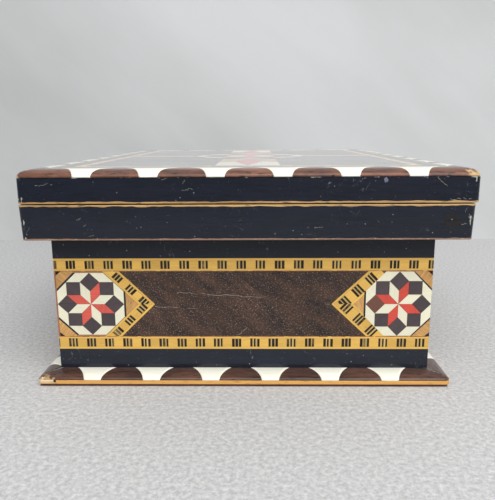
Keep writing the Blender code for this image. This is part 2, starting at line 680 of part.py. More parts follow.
ward_x = bit_x1 - KEY_BIT_WIDTH / 2
bit_bottom = collar_middle - KEY_BIT_REACH
cut_box(key, (ward_x - KEY_WARD_WIDTH / 2, key_y - KEY_BIT_THICKNESS, bit_bottom - KEY_WARD_DEPTH),
        (ward_x + KEY_WARD_WIDTH / 2, key_y + KEY_BIT_THICKNESS, bit_bottom + KEY_WARD_DEPTH))
cut(key, rod("key_bore", KEY_BARREL_BORE, 2 * KEY_BORE_DEPTH, "X", (shank_x1, key_y, collar_middle),
             collection=cutters))
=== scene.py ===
# %% [markdown]
# # A marquetry puzzle box
# The box is cased in Granada-style marquetry: hundreds of slips of bone, boxwood, walnut and dyed wood
# glued to plain boards and polished flat. The boards, hinges, lock and sliding mouldings come from the
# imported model, which is loaded first and never moved. Everything below adds what the eye sees.

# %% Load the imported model
import math
import random

import bmesh
import bpy
from mathutils import Matrix, Vector


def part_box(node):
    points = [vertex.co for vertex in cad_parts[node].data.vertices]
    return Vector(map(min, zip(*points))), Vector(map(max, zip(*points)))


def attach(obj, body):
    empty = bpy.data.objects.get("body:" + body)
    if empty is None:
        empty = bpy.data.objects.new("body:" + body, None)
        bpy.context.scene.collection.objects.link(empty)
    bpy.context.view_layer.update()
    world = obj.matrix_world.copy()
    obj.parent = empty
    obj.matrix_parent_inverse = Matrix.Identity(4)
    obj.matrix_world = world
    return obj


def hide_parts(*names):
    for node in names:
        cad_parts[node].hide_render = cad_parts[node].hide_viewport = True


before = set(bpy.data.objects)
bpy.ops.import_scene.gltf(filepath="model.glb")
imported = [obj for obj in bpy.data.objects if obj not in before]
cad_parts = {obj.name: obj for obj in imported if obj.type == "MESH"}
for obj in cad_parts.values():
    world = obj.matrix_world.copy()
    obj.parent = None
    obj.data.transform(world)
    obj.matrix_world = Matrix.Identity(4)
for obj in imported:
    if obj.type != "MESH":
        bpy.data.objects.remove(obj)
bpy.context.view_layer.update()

MM = 0.001

# %% [markdown]
# ## Camera
# The camera stands close to the end of the box and a little above its lid, and looks down by about
# twelve degrees, with a normal lens. It is set first, because every later choice is judged through it.

# %% Set the camera
CAMERA_PLACE = Vector((3.42, -222.57, 70.68)) * MM
CAMERA_HEADING = math.radians(1.01)
CAMERA_DIP = math.radians(11.97)
CAMERA_ROLL = math.radians(-0.33)
CAMERA_LENS = 39.99


def aim_camera():
    """Build the camera's axes from heading, dip and roll."""
    level = Vector((-math.sin(CAMERA_HEADING), math.cos(CAMERA_HEADING), 0))
    right = Vector((math.cos(CAMERA_HEADING), math.sin(CAMERA_HEADING), 0))
    forward = level * math.cos(CAMERA_DIP) - Vector((0, 0, 1)) * math.sin(CAMERA_DIP)
    up = level * math.sin(CAMERA_DIP) + Vector((0, 0, 1)) * math.cos(CAMERA_DIP)
    across = right * math.cos(CAMERA_ROLL) + up * math.sin(CAMERA_ROLL)
    upward = up * math.cos(CAMERA_ROLL) - right * math.sin(CAMERA_ROLL)
    camera = bpy.data.objects.new("camera", bpy.data.cameras.new("camera"))
    bpy.context.scene.collection.objects.link(camera)
    camera.data.lens = CAMERA_LENS
    camera.data.sensor_width = 36.0
    camera.data.clip_start = 0.01
    turn = Matrix((across, upward, -forward)).transposed().to_4x4()
    camera.matrix_world = Matrix.Translation(CAMERA_PLACE) @ turn
    bpy.context.scene.camera = camera


aim_camera()
bpy.context.scene.view_settings.view_transform = "Standard"
print("camera lens", CAMERA_LENS, "mm")

# %% [markdown]
# ## Helpers for node trees
# Materials and geometry trees are both nodes joined by links. Each node could be added and wired by
# hand, but a few short functions that add a node and fill its inputs let a tree read like a recipe.

# %% Helpers that add and join nodes
def new_group(name, kind, inputs, outputs):
    """A node group. Each input is a number or the name of its type, and each output is a type."""
    tree = bpy.data.node_groups.new(name, kind)
    for label, value in inputs.items():
        word = value if isinstance(value, str) else "Int" if isinstance(value, int) else "Float"
        made = tree.interface.new_socket(label, in_out="INPUT", socket_type="NodeSocket" + word)
        if not isinstance(value, str):
            made.default_value = value
    for label, word in outputs.items():
        tree.interface.new_socket(label, in_out="OUTPUT", socket_type="NodeSocket" + word)
    return tree, tree.nodes.new("NodeGroupInput").outputs, tree.nodes.new("NodeGroupOutput").inputs


def fill(tree, node, values):
    """Set a node's inputs, or link them where the value is another node's output."""
    for key, value in values.items():
        if isinstance(value, bpy.types.NodeSocket):
            tree.links.new(value, node.inputs[key])
        else:
            node.inputs[key].default_value = value
    return node


def add(tree, kind, values=None, **settings):
    """Add a node, set its properties and fill its inputs."""
    made = tree.nodes.new(kind)
    for key, value in settings.items():
        setattr(made, key, value)
    return fill(tree, made, values or {})


def calc(tree, operation, a, b=0.0, clamp=False):
    """One Math node, returning its output socket."""
    return add(tree, "ShaderNodeMath", {0: a, 1: b}, operation=operation, use_clamp=clamp).outputs[0]


def plus(tree, a, b):
    return calc(tree, "ADD", a, b)


def minus(tree, a, b):
    return calc(tree, "SUBTRACT", a, b)


def times(tree, a, b):
    return calc(tree, "MULTIPLY", a, b)


def vector(tree, x=0.0, y=0.0, z=0.0):
    return add(tree, "ShaderNodeCombineXYZ", {"X": x, "Y": y, "Z": z}).outputs[0]


def split(tree, value):
    return add(tree, "ShaderNodeSeparateXYZ", {0: value}).outputs


def vector_math(tree, operation, a, b):
    return add(tree, "ShaderNodeVectorMath", {0: a, 1: b}, operation=operation).outputs[0]


# %% Helpers for colour and patterns
def stretch_range(tree, value, low, high, to_low=0.0, to_high=1.0):
    made = add(tree, "ShaderNodeMapRange", {"Value": value, "From Min": low, "From Max": high,
                                            "To Min": to_low, "To Max": to_high})
    return made.outputs["Result"]


def blend_color(tree, factor, first, second):
    return add(tree, "ShaderNodeMix", {"Factor": factor, 6: first, 7: second},
               data_type="RGBA").outputs[2]


def noise(tree, place, scale, detail=2.0, roughness=0.5):
    return add(tree, "ShaderNodeTexNoise", {"Vector": place, "Scale": scale, "Detail": detail,
                                            "Roughness": roughness}).outputs["Fac"]


def object_place(tree):
    return add(tree, "ShaderNodeTexCoord").outputs["Object"]


def relief(tree, height, strength, distance):
    made = add(tree, "ShaderNodeBump", {"Height": height, "Strength": strength, "Distance": distance})
    return made.outputs["Normal"]


def new_finish(name):
    """A new material, with its tree and its shader."""
    made = bpy.data.materials.new(name)
    made.use_nodes = True
    return made, made.node_tree, made.node_tree.nodes["Principled BSDF"]


# %% Helpers that turn working geometry into objects
def object_from(bm, name, *materials):
    """Close a bmesh, put it in a new object and link that to the scene."""
    mesh = bpy.data.meshes.new(name)
    bm.to_mesh(mesh)
    bm.free()
    for material in materials:
        mesh.materials.append(material)
    made = bpy.data.objects.new(name, mesh)
    bpy.context.scene.collection.objects.link(made)
    return made


def flatten(piece, modifier):
    """Keep a modifier's result as the piece's own plain mesh."""
    bpy.context.view_layer.update()
    mesh = bpy.data.meshes.new_from_object(
        piece.evaluated_get(bpy.context.evaluated_depsgraph_get()))
    piece.modifiers.remove(modifier)
    piece.data = mesh


def towards(angle):
    """A step of length one at an angle, in a flat pattern."""
    return Vector((math.cos(angle), math.sin(angle)))


# %% [markdown]
# ## Floor and light
# The box stands on a pale, softly mottled cloth under a bright soft sky. A large lamp hangs over the
# front and a smaller one at its right. The polish shows lamps as long soft glints, so they are big.

# %% Lay the floor and hang the backdrop
FLOOR_SIZE = 6.0
WALL_PLACE = 0.145
WALL_HEIGHT = 1.2


def stage_plane(name, matrix, size, material):
    bm = bmesh.new()
    bmesh.ops.create_grid(bm, x_segments=8, y_segments=8, size=0.5)
    bmesh.ops.scale(bm, vec=(*size, 1), verts=bm.verts)
    bmesh.ops.transform(bm, matrix=matrix, verts=bm.verts)
    object_from(bm, name, material)


def floor_cloth(dark, pale, shadow, far, near):
    """A fine mottle. A painted shadow darkens it towards the front, in the part that the black bands mirror.
    """
    made, tree, shader = new_finish("floor_cloth")
    place = object_place(tree)
    mottle = stretch_range(tree, noise(tree, place, 820.0, 6.0, 0.8), 0.35, 0.65)
    cloth = blend_color(tree, mottle, dark, pale)
    # Painted shadow: between 0.15 m and 0.34 m in front of the box the cloth darkens to the shadow colour.
    depth = stretch_range(tree, split(tree, place)["Y"], far, near)
    fill(tree, shader, {"Base Color": blend_color(tree, depth, shadow, cloth), "Roughness": 0.9})
    return made


def hung_cloth(dark, pale):
    """Soft slanting folds, painted as shade on a flat sheet. It is clear from behind, so that the box can be
    seen from all sides.
    """
    made, tree, shader = new_finish("backdrop_with_painted_folds")
    turned = add(tree, "ShaderNodeMapping", {"Vector": object_place(tree), "Rotation": (0.0, 0.7, 0.0),
                                             "Scale": (3.0, 1.0, 1.0)}, vector_type="TEXTURE")
    # Painted shade of folds: a stretched, slanting noise darkens the flat sheet in soft bands.
    painted_fold_shade = stretch_range(tree, noise(tree, turned.outputs[0], 11.0, 5.0), 0.3, 0.7)
    fill(tree, shader, {"Base Color": blend_color(tree, painted_fold_shade, dark, pale), "Roughness": 0.9})
    behind = add(tree, "ShaderNodeNewGeometry").outputs["Backfacing"]
    clear = add(tree, "ShaderNodeBsdfTransparent").outputs[0]
    mixed = add(tree, "ShaderNodeMixShader", {0: behind, 1: shader.outputs[0], 2: clear})
    tree.links.new(mixed.outputs[0], tree.nodes["Material Output"].inputs["Surface"])
    return made


# The floor: a mottled cloth with a painted shadow in front of the box.
stage_plane("floor", Matrix.Identity(4), (FLOOR_SIZE, FLOOR_SIZE),
            floor_cloth((0.39, 0.39, 0.39, 1), (0.70, 0.69, 0.68, 1), (0.12, 0.12, 0.13, 1),
                        -0.34, -0.15))
upright = Matrix.Translation((0, WALL_PLACE, WALL_HEIGHT / 2)) @ Matrix.Rotation(math.pi / 2, 4, "X")
stage_plane("backdrop", upright, (FLOOR_SIZE, WALL_HEIGHT),
            hung_cloth((0.47, 0.475, 0.47, 1), (0.63, 0.635, 0.635, 1)))


# %% Hang the lamps
def lamp(name, size, power, place, target):
    light = bpy.data.lights.new(name, "AREA")
    light.shape = "RECTANGLE"
    light.size, light.size_y = size
    light.energy = power
    made = bpy.data.objects.new(name, light)
    bpy.context.scene.collection.objects.link(made)
    made.location = place
    made.rotation_euler = (Vector(target) - Vector(place)).to_track_quat("-Z", "Y").to_euler()


world = bpy.data.worlds.new("studio_sky")
world.use_nodes = True
sky = world.node_tree.nodes["Background"]
sky.inputs["Color"].default_value = (0.93, 0.96, 1.0, 1.0)
sky.inputs["Strength"].default_value = 0.62
bpy.context.scene.world = world
lamp("key_lamp", (0.9, 0.7), 7.4, (0.16, -0.62, 0.72), (0, 0, 0.02))
lamp("fill_lamp", (0.8, 0.5), 1.4, (0.5, -0.7, 0.35), (0, 0, 0.03))
print("lamps:", len(bpy.data.lights))

# %% [markdown]
# ## Shared shader groups
# Every wood here is the same idea with other numbers: fibres stretched along the grain, a broader
# figure under them, and pores. A second group ages a polished surface: hairline scratches, dust
# specks, and edges where the colour has been rubbed away. Both are node groups, built once.


# %% Build the wood group
def build_wood_group():
    tree, out, result = new_group(
        "wood_figure", "ShaderNodeTree",
        {"Vector": "Vector", "Light": "Color", "Dark": "Color", "Pore": "Color", "Fibres": 2500.0,
         "Stretch": 14.0, "Figure": 0.4, "Pores": 0.4, "Pore scale": 2200.0, "Pore length": 6.0,
         "Tone": 0.5, "Spread": 0.3},
        {"Color": "Color", "Roughness": "Float", "Height": "Float"})
    drift = add(tree, "ShaderNodeTexNoise", {"Vector": out["Vector"], "Scale": 90.0, "Detail": 1.0})
    centred = vector_math(tree, "SUBTRACT", drift.outputs["Color"], (0.5, 0.5, 0.5))
    wander = vector_math(tree, "MULTIPLY", centred, (0.0, 0.0016, 0.0))
    bent = vector_math(tree, "ADD", out["Vector"], wander)

    def drawn_out(length):
        return vector_math(tree, "MULTIPLY", bent, vector(tree, calc(tree, "DIVIDE", 1.0, length), 1.0, 1.0))

    grain = drawn_out(out["Stretch"])
    fibre = noise(tree, grain, out["Fibres"], 5.0, 0.7)
    broad = noise(tree, grain, times(tree, out["Fibres"], 0.16), 3.0, 0.55)
    mixed = add(tree, "ShaderNodeMix", {0: out["Figure"], 2: fibre, 3: broad}).outputs[0]
    color = blend_color(tree, stretch_range(tree, mixed, 0.36, 0.64), out["Dark"], out["Light"])
    pore_noise = noise(tree, drawn_out(out["Pore length"]), out["Pore scale"], 1.0, 0.4)
    pore = times(tree, stretch_range(tree, pore_noise, 0.63, 0.70), out["Pores"])
    color = blend_color(tree, pore, color, out["Pore"])
    swing = times(tree, minus(tree, out["Tone"], 0.5), out["Spread"])
    color = add(tree, "ShaderNodeHueSaturation",
                {"Color": color, "Value": plus(tree, swing, 1.0)}).outputs["Color"]
    tree.links.new(color, result["Color"])
    tree.links.new(stretch_range(tree, fibre, 0.2, 0.8, 0.22, 0.42), result["Roughness"])
    tree.links.new(minus(tree, fibre, pore), result["Height"])
    return tree


wood_group = build_wood_group()
print("wood group nodes:", len(wood_group.nodes))

# %% Build the ageing group
SCRATCH_TURNS = ((0.3, 0.35, 0.2), (-0.2, -0.9, 0.4), (0.5, 1.3, -0.6))
SPECKS = ((850.0, 0.55), (2300.0, 0.80))
DUST_COLOR = (0.46, 0.51, 0.54, 1.0)


def scratch_lines(tree, place):
    """Thin contour lines of a stretched noise, in three directions, broken by a second noise."""
    lines = None
    for turn in SCRATCH_TURNS:
        turned = add(tree, "ShaderNodeMapping", {"Vector": place, "Rotation": turn,
                                                 "Scale": (0.006, 0.0009, 0.0009)},
                     vector_type="TEXTURE").outputs[0]
        level = calc(tree, "ABSOLUTE", minus(tree, noise(tree, turned, 1.0, 1.0, 0.3), 0.5))
        broken = stretch_range(tree, noise(tree, turned, 0.9, 1.0, 0.3), 0.62, 0.74)
        line = times(tree, stretch_range(tree, level, 0.016, 0.002), broken)
        lines = line if lines is None else calc(tree, "MAXIMUM", lines, line)
    return lines


def dust_specks(tree, place):
    """Round specks of two sizes, in the cells that a random number picks."""
    dots = None
    for scale, rarity in SPECKS:
        speck = add(tree, "ShaderNodeTexVoronoi", {"Vector": place, "Scale": scale})
        chosen = add(tree, "ShaderNodeSeparateColor", {"Color": speck.outputs["Color"]}).outputs[0]
        size = stretch_range(tree, chosen, rarity, 1.0, 0.0, 0.17)
        dot = stretch_range(tree, minus(tree, size, speck.outputs["Distance"]), 0.0, 0.07)
        dots = dot if dots is None else calc(tree, "MAXIMUM", dots, dot)
    return dots


def build_age_group():
    tree, out, result = new_group(
        "handled_polish", "ShaderNodeTree",
        {"Vector": "Vector", "Color": "Color", "Roughness": 0.3, "Edge": 0.0, "Worn": "Color",
         "Wear": 0.5, "Scratches": 0.3, "Dust": 0.3},
        {"Color": "Color", "Roughness": "Float"})
    place = out["Vector"]
    blotch = noise(tree, place, 620.0, 4.0, 0.65)
    patch = noise(tree, place, 240.0, 2.0, 0.5)
    rubbed = times(tree, out["Edge"], stretch_range(tree, patch, 0.35, 0.62))
    rubbed = plus(tree, rubbed, times(tree, minus(tree, blotch, 0.5), 1.5))
    rubbed = times(tree, stretch_range(tree, rubbed, 0.62, 0.80), out["Wear"])
    color = blend_color(tree, rubbed, out["Color"], out["Worn"])
    gate = stretch_range(tree, noise(tree, place, 160.0, 1.0), 0.54, 0.72)
    scratch = times(tree, times(tree, scratch_lines(tree, place), gate), out["Scratches"])
    dust = times(tree, dust_specks(tree, place), out["Dust"])
    pale = calc(tree, "MAXIMUM", scratch, dust, clamp=True)
    rough = plus(tree, out["Roughness"], times(tree, rubbed, 0.3))
    rough = plus(tree, rough, times(tree, pale, 0.25))
    smear = stretch_range(tree, noise(tree, place, 60.0, 3.0), 0.3, 0.7, -0.04, 0.07)
    tree.links.new(blend_color(tree, pale, color, DUST_COLOR), result["Color"])
    tree.links.new(calc(tree, "ADD", rough, smear, clamp=True), result["Roughness"])
    return tree


age_group = build_age_group()
print("ageing group nodes:", len(age_group.nodes))

# %% [markdown]
# ## Woods, bone and metal
# A marquetry maker names each stick by its wood. Each material below is one of those sticks. Slips carry
# their own grain direction in a map called grain and their own shade in an attribute called tone, so
# one material gives every slip a different piece of the same plank.


# %% Make the woods
def wood(name, light, dark, pore=(0.02, 0.012, 0.01), fibres=2500.0, stretch=14.0, figure=0.4,
         pores=0.4, spread=0.3, gloss=0.5, worn=(0.45, 0.36, 0.22), wear=0.0, scratches=0.05,
         dust=0.1, bump=0.05, by_object=False, pore_scale=2200.0, pore_length=6.0, coat_rough=0.12,
         specular=0.5, haze=0.0):
    """A polished wood. Its grain follows the slip's own map, or the whole object."""
    made, tree, shader = new_finish(f"{name}_finish")
    place = object_place(tree)
    grain = place if by_object else add(tree, "ShaderNodeUVMap", uv_map="grain").outputs["UV"]
    tone, edge = (add(tree, "ShaderNodeAttribute", attribute_name=word).outputs["Fac"]
                  for word in ("tone", "edge"))
    plank = add(tree, "ShaderNodeGroup",
                {"Vector": grain, "Tone": tone, "Light": (*light, 1), "Dark": (*dark, 1),
                 "Pore": (*pore, 1), "Fibres": fibres, "Stretch": stretch, "Figure": figure,
                 "Pores": pores, "Pore scale": pore_scale, "Pore length": pore_length,
                 "Spread": spread}, node_tree=wood_group).outputs
    aged = add(tree, "ShaderNodeGroup",
               {"Vector": place, "Edge": edge, "Color": plank["Color"],
                "Roughness": plank["Roughness"], "Worn": (*worn, 1), "Wear": wear,
                "Scratches": scratches, "Dust": dust}, node_tree=age_group).outputs
    fill(tree, shader, {"Base Color": aged["Color"], "Roughness": aged["Roughness"],
                        "Normal": relief(tree, plank["Height"], bump, 0.00005),
                        "Coat Weight": gloss, "Coat Roughness": coat_rough,
                        "Specular IOR Level": specular, "Sheen Weight": haze,
                        "Sheen Roughness": 0.35})
    return made


walnut = wood("walnut", (0.070, 0.035, 0.023), (0.016, 0.010, 0.010), pore=(0.42, 0.31, 0.21),
              fibres=1500.0, stretch=2.6, figure=0.72, pores=0.6, pore_scale=3600.0, pore_length=1.3,
              spread=0.7, gloss=0.2, scratches=0.14, dust=0.3, specular=0.3)
ROSEWOOD = dict(pore=(0.012, 0.006, 0.005), fibres=1200.0, stretch=5.0, figure=0.55, pores=0.85,
                spread=0.7, gloss=0.15, worn=(0.66, 0.45, 0.22), dust=0.2, specular=0.3)
rosewood = wood("rosewood", (0.24, 0.095, 0.052), (0.026, 0.012, 0.010), wear=0.8, haze=0.45, **ROSEWOOD)
dark_rosewood = wood("dark_rosewood", (0.135, 0.060, 0.038), (0.022, 0.011, 0.010), wear=0.5,
                     haze=0.25, **ROSEWOOD)
boxwood = wood("boxwood", (0.74, 0.455, 0.095), (0.62, 0.35, 0.060), pore=(0.36, 0.17, 0.05),
               fibres=1800.0, pores=0.2, spread=0.22, gloss=0.35, dust=0.0)
gold_line = wood("gold_line", (0.60, 0.37, 0.13), (0.27, 0.14, 0.05), pore=(0.05, 0.03, 0.015),
                 fibres=1300.0, stretch=9.0, figure=0.5, pores=0.75, spread=0.25, gloss=0.35)
orangewood = wood("orangewood", (0.68, 0.385, 0.12), (0.36, 0.17, 0.05), pore=(0.25, 0.10, 0.04),
                  fibres=1600.0, stretch=12.0, figure=0.3, pores=0.5, spread=0.3, gloss=0.35)
spacer_wood = wood("spacer_wood", (0.58, 0.41, 0.13), (0.42, 0.27, 0.07), fibres=1800.0,
                   pores=0.1, spread=0.5, gloss=0.35)
redwood = wood("redwood", (0.66, 0.095, 0.065), (0.54, 0.068, 0.046), pore=(0.30, 0.03, 0.03),
               fibres=2600.0, pores=0.25, spread=0.12, gloss=0.4)
redder_wood = wood("redder_wood", (0.64, 0.062, 0.034), (0.52, 0.045, 0.026), pore=(0.30, 0.02, 0.02),
                   fibres=2600.0, pores=0.25, spread=0.12, gloss=0.4)
darkwood = wood("darkwood", (0.064, 0.043, 0.047), (0.042, 0.029, 0.032), fibres=2400.0,
                pores=0.3, spread=0.35, gloss=0.3)
brownwood = wood("brownwood", (0.15, 0.055, 0.031), (0.11, 0.038, 0.024), fibres=2400.0,
                 pores=0.3, spread=0.2, gloss=0.3)
bone = wood("bone", (0.78, 0.75, 0.575), (0.72, 0.68, 0.50), pore=(0.60, 0.52, 0.34), fibres=1200.0,
            stretch=9.0, pores=0.12, spread=0.10, gloss=0.45, dust=0.0, scratches=0.0, bump=0.02)
brown_line = wood("brown_line", (0.36, 0.20, 0.12), (0.13, 0.065, 0.04), pore=(0.55, 0.45, 0.32),
                  fibres=1500.0, pores=0.5, pore_length=2.0, spread=0.4, gloss=0.3)
ebonised = wood("ebonised", (0.0095, 0.0125, 0.0230), (0.0050, 0.0070, 0.0130),
                pore=(0.003, 0.003, 0.004), fibres=1400.0, stretch=10.0, pores=0.3, spread=0.5,
                gloss=0.65, worn=(0.44, 0.45, 0.36), wear=0.9, scratches=0.5, dust=0.5,
                specular=0.14, coat_rough=0.06)
glue = wood("glue_and_ground", (0.16, 0.10, 0.055), (0.09, 0.055, 0.03), fibres=900.0, gloss=0.1)
cedar = wood("cedar", (0.50, 0.26, 0.13), (0.33, 0.15, 0.07), pore=(0.20, 0.08, 0.04),
             fibres=1100.0, stretch=16.0, figure=0.5, pores=0.5, gloss=0.05, bump=0.2,
             by_object=True)
runner_wood = wood("runner_boxwood", (0.72, 0.47, 0.17), (0.58, 0.34, 0.10), fibres=1500.0,
                   gloss=0.1, by_object=True)


# %% Make the bar wood, whose dye has faded out of some bars
def fading_dye(name):
    """Black-dyed bars; the palest few by tone have faded to olive brown."""
    made = wood(name, (0.036, 0.021, 0.012), (0.014, 0.008, 0.005), fibres=2200.0, stretch=5.0,
                pores=0.2, spread=0.6, gloss=0.1, specular=0.2)
    tree = made.node_tree
    shader = tree.nodes["Principled BSDF"]
    before = shader.inputs["Base Color"].links[0].from_socket
    tone = add(tree, "ShaderNodeAttribute", attribute_name="tone").outputs["Fac"]
    patch = noise(tree, object_place(tree), 900.0, 3.0, 0.6)
    faded = plus(tree, stretch_range(tree, tone, 0.78, 1.2), patch)
    mask = times(tree, stretch_range(tree, faded, 0.68, 1.1), 0.8)
    after = blend_color(tree, mask, before, (0.26, 0.17, 0.065, 1.0))
    tree.links.new(after, shader.inputs["Base Color"])
    return made


bar_wood = fading_dye("bar_wood")


# %% Make the metals
def metal(name, color, roughness, tarnish):
    """Brushed metal with tarnished spots."""
    made, tree, shader = new_finish(f"{name}_finish")
    place = object_place(tree)
    spots = stretch_range(tree, noise(tree, place, 700.0, 4.0, 0.65), 0.42, 0.68)
    brushed = add(tree, "ShaderNodeMapping", {"Vector": place, "Scale": (1.0, 1.0, 12.0)}).outputs[0]
    lines = noise(tree, brushed, 2600.0, 2.0)
    rough = stretch_range(tree, lines, 0.3, 0.7, roughness, roughness + 0.12)
    fill(tree, shader, {
        "Base Color": blend_color(tree, times(tree, spots, 0.6), (*color, 1), (*tarnish, 1)),
        "Roughness": plus(tree, rough, times(tree, spots, 0.15)),
        "Normal": relief(tree, lines, 0.08, 0.00003), "Metallic": 1.0})
    return made


brass = metal("brass", (0.82, 0.60, 0.26), 0.22, (0.36, 0.22, 0.09))
steel = metal("steel", (0.56, 0.56, 0.57), 0.25, (0.26, 0.23, 0.20))
print("materials:", len(bpy.data.materials))

# %% [markdown]
# ## Slips of veneer
# A slip is a flat polygon a third of a millimetre thick. Every flat pattern below is a list of such
# polygons, cut to fit each other with a hairline between them where the dark glue shows. They could be
# drawn in a texture, but cut pieces catch the light at their edges and survive any close look. A cut is
# made the way a knife does it: keep what lies on one side of a line.

# %% Cut polygons and raise them into slips
SLIP = 0.3 * MM
HAIRLINE = 0.02 * MM
dice = random.Random(7)


def keep_side(points, start, direction):
    """The part of a convex polygon on the left of a line."""
    start = Vector(start)
    normal = Vector((-direction[1], direction[0])).normalized()
    kept = []
    for here, after in zip(points, points[1:] + points[:1]):
        a = (Vector(here) - start).dot(normal)
        b = (Vector(after) - start).dot(normal)
        if a >= 0:
            kept.append(Vector(here))
        if (a < 0) != (b < 0):
            kept.append(Vector(here).lerp(Vector(after), a / (a - b)))
    return kept


def shrink(points, gap):
    """Move every side of a convex, anticlockwise polygon inwards."""
    points = [Vector(point) for point in points]
    kept = points
    for here, after in zip(points, points[1:] + points[:1]):
        along = after - here
        if along.length < 1e-7:
            continue
        inward = Vector((-along.y, along.x)).normalized() * gap
        kept = keep_side(kept, here + inward, along)
    return kept


def rectangle(u0, v0, u1, v1):
    return [Vector((u0, v0)), Vector((u1, v0)), Vector((u1, v1)), Vector((u0, v1))]


class Veneer:
    """Collects slips on one board: polygons in the plane of its face, each with its wood."""

    def __init__(self):
        self.bm = bmesh.new()
        self.grain = self.bm.loops.layers.uv.new("grain")
        self.tone = self.bm.verts.layers.float.new("tone")
        self.bm.verts.layers.float.new("edge")
        self.woods = []

    def slip(self, points, material, angle=0.0, tone=None, top=0.0, depth=SLIP, gap=HAIRLINE):
        points = shrink(points, gap) if gap else [Vector(point) for point in points]
        if len(points) < 3:
            return
        tone = dice.random() if tone is None else tone
        if material not in self.woods:
            self.woods.append(material)
        number = self.woods.index(material)
        shift = Vector((dice.random(), dice.random())) * 0.3
        upper = [self.bm.verts.new((p.x, p.y, top)) for p in points]
        lower = [self.bm.verts.new((p.x, p.y, top - depth)) for p in points]
        faces = [self.bm.faces.new(upper), self.bm.faces.new(lower[::-1])]
        for i in range(len(points)):
            j = (i + 1) % len(points)
            faces.append(self.bm.faces.new((upper[i], lower[i], lower[j], upper[j])))
        for vertex in upper + lower:
            vertex[self.tone] = tone
        cosine, sine = math.cos(angle), math.sin(angle)
        for face in faces:
            face.material_index = number
            for loop in face.loops:
                x, y, z = loop.vert.co
                loop[self.grain].uv = (x * cosine + y * sine + shift.x,
                                       y * cosine - x * sine + z + shift.y)

    def build(self, name, matrix=None):
        made = object_from(self.bm, name, *self.woods)
        if matrix is not None:
            made.data.transform(matrix)
        return made


def face_matrix(origin, right, up=(0, 0, 1)):
    """Carries a flat pattern to a face: x to the right, y up, z out of the board."""
    right, up = Vector(right), Vector(up)
    turn = Matrix((right, up, right.cross(up))).transposed().to_4x4()
    return Matrix.Translation(origin) @ turn


def fuse(name, pieces):
    """Join objects into one mesh, keeping their woods, grain and tone."""
    bpy.context.view_layer.update()
    first = pieces[0]
    with bpy.context.temp_override(active_object=first, object=first,
                                   selected_editable_objects=pieces, selected_objects=pieces):
        bpy.ops.object.join()
    first.name = name
    first.data.name = name
    return first


def hand_over(piece, body, slot, *nodes):
    """Tie a finished piece to its body and hide the plain solids it stands for. The slot is not used."""
    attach(piece, body)
    if nodes:
        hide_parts(*nodes)
    print(f"{piece.name}: {len(piece.data.polygons)} faces on {body}")
    return piece


# %% [markdown]
# ## Rows and stars with Geometry Nodes
# Three patterns repeat all over the box: bands with groups of three dark bars, eight-pointed stars of
# rhombi and squares, and borders where bone scallops stand between rosewood domes. Each is one node tree
# with its sizes as inputs. All three end alike: the instances become real geometry, a small shared
# group gives every slip its own shade and its own place in the plank, and each slip gets its wood.

# %% Helpers for geometry trees
def store(tree, geometry, name, value, kind="FLOAT", domain="POINT"):
    made = add(tree, "GeometryNodeStoreNamedAttribute", {"Geometry": geometry, "Name": name},
               data_type=kind, domain=domain)
    tree.links.new(value, made.inputs["Value"])
    return made.outputs["Geometry"]


def shifted(tree, geometry, spot):
    """Move a piece of geometry."""
    return add(tree, "GeometryNodeTransform", {"Geometry": geometry, "Translation": spot}).outputs[0]


def position(tree):
    return tree.nodes.new("GeometryNodeInputPosition").outputs[0]


def join(tree, *pieces):
    made = tree.nodes.new("GeometryNodeJoinGeometry")
    for piece in pieces:
        tree.links.new(piece, made.inputs["Geometry"])
    return made.outputs["Geometry"]


def mark(tree, geometry, number):
    """Note on every face which of the tree's woods it will be given at the end."""
    made = add(tree, "GeometryNodeStoreNamedAttribute",
               {"Geometry": geometry, "Name": "wood", "Value": number}, data_type="INT",
               domain="FACE")
    return made.outputs["Geometry"]


def named(tree, name, kind):
    return add(tree, "GeometryNodeInputNamedAttribute", {"Name": name}, data_type=kind).outputs[0]


def line_of_points(tree, count, first, pitch):
    return add(tree, "GeometryNodeMeshLine", {"Count": count, "Start Location": vector(tree, first),
                                              "Offset": vector(tree, pitch)}).outputs["Mesh"]


def instances(tree, points, shape, scale=None):
    values = {"Points": points, "Instance": shape}
    if scale is not None:
        values["Scale"] = scale
    return add(tree, "GeometryNodeInstanceOnPoints", values).outputs["Instances"]


# %% Build the shared ending: tone, grain and real geometry
def build_finish_group():
    tree, out, result = new_group("slip_finish", "GeometryNodeTree",
                                  {"Geometry": "Geometry", "Seed": 0}, {"Geometry": "Geometry"})
    island = tree.nodes.new("GeometryNodeInputMeshIsland").outputs["Island Index"]
    chance = add(tree, "FunctionNodeRandomValue", {"ID": island, "Seed": out["Seed"]},
                 data_type="FLOAT").outputs[1]
    toned = store(tree, out["Geometry"], "tone", chance)
    tone = named(tree, "tone", "FLOAT")
    grain = named(tree, "grain", "FLOAT_VECTOR")
    shift = vector_math(tree, "MULTIPLY", vector(tree, tone, times(tree, tone, 7.3)), (0.31, 0.17, 0.0))
    moved = vector_math(tree, "ADD", grain, shift)
    tree.links.new(store(tree, toned, "grain", moved, "FLOAT2", "CORNER"), result["Geometry"])
    return tree


finish_group = build_finish_group()


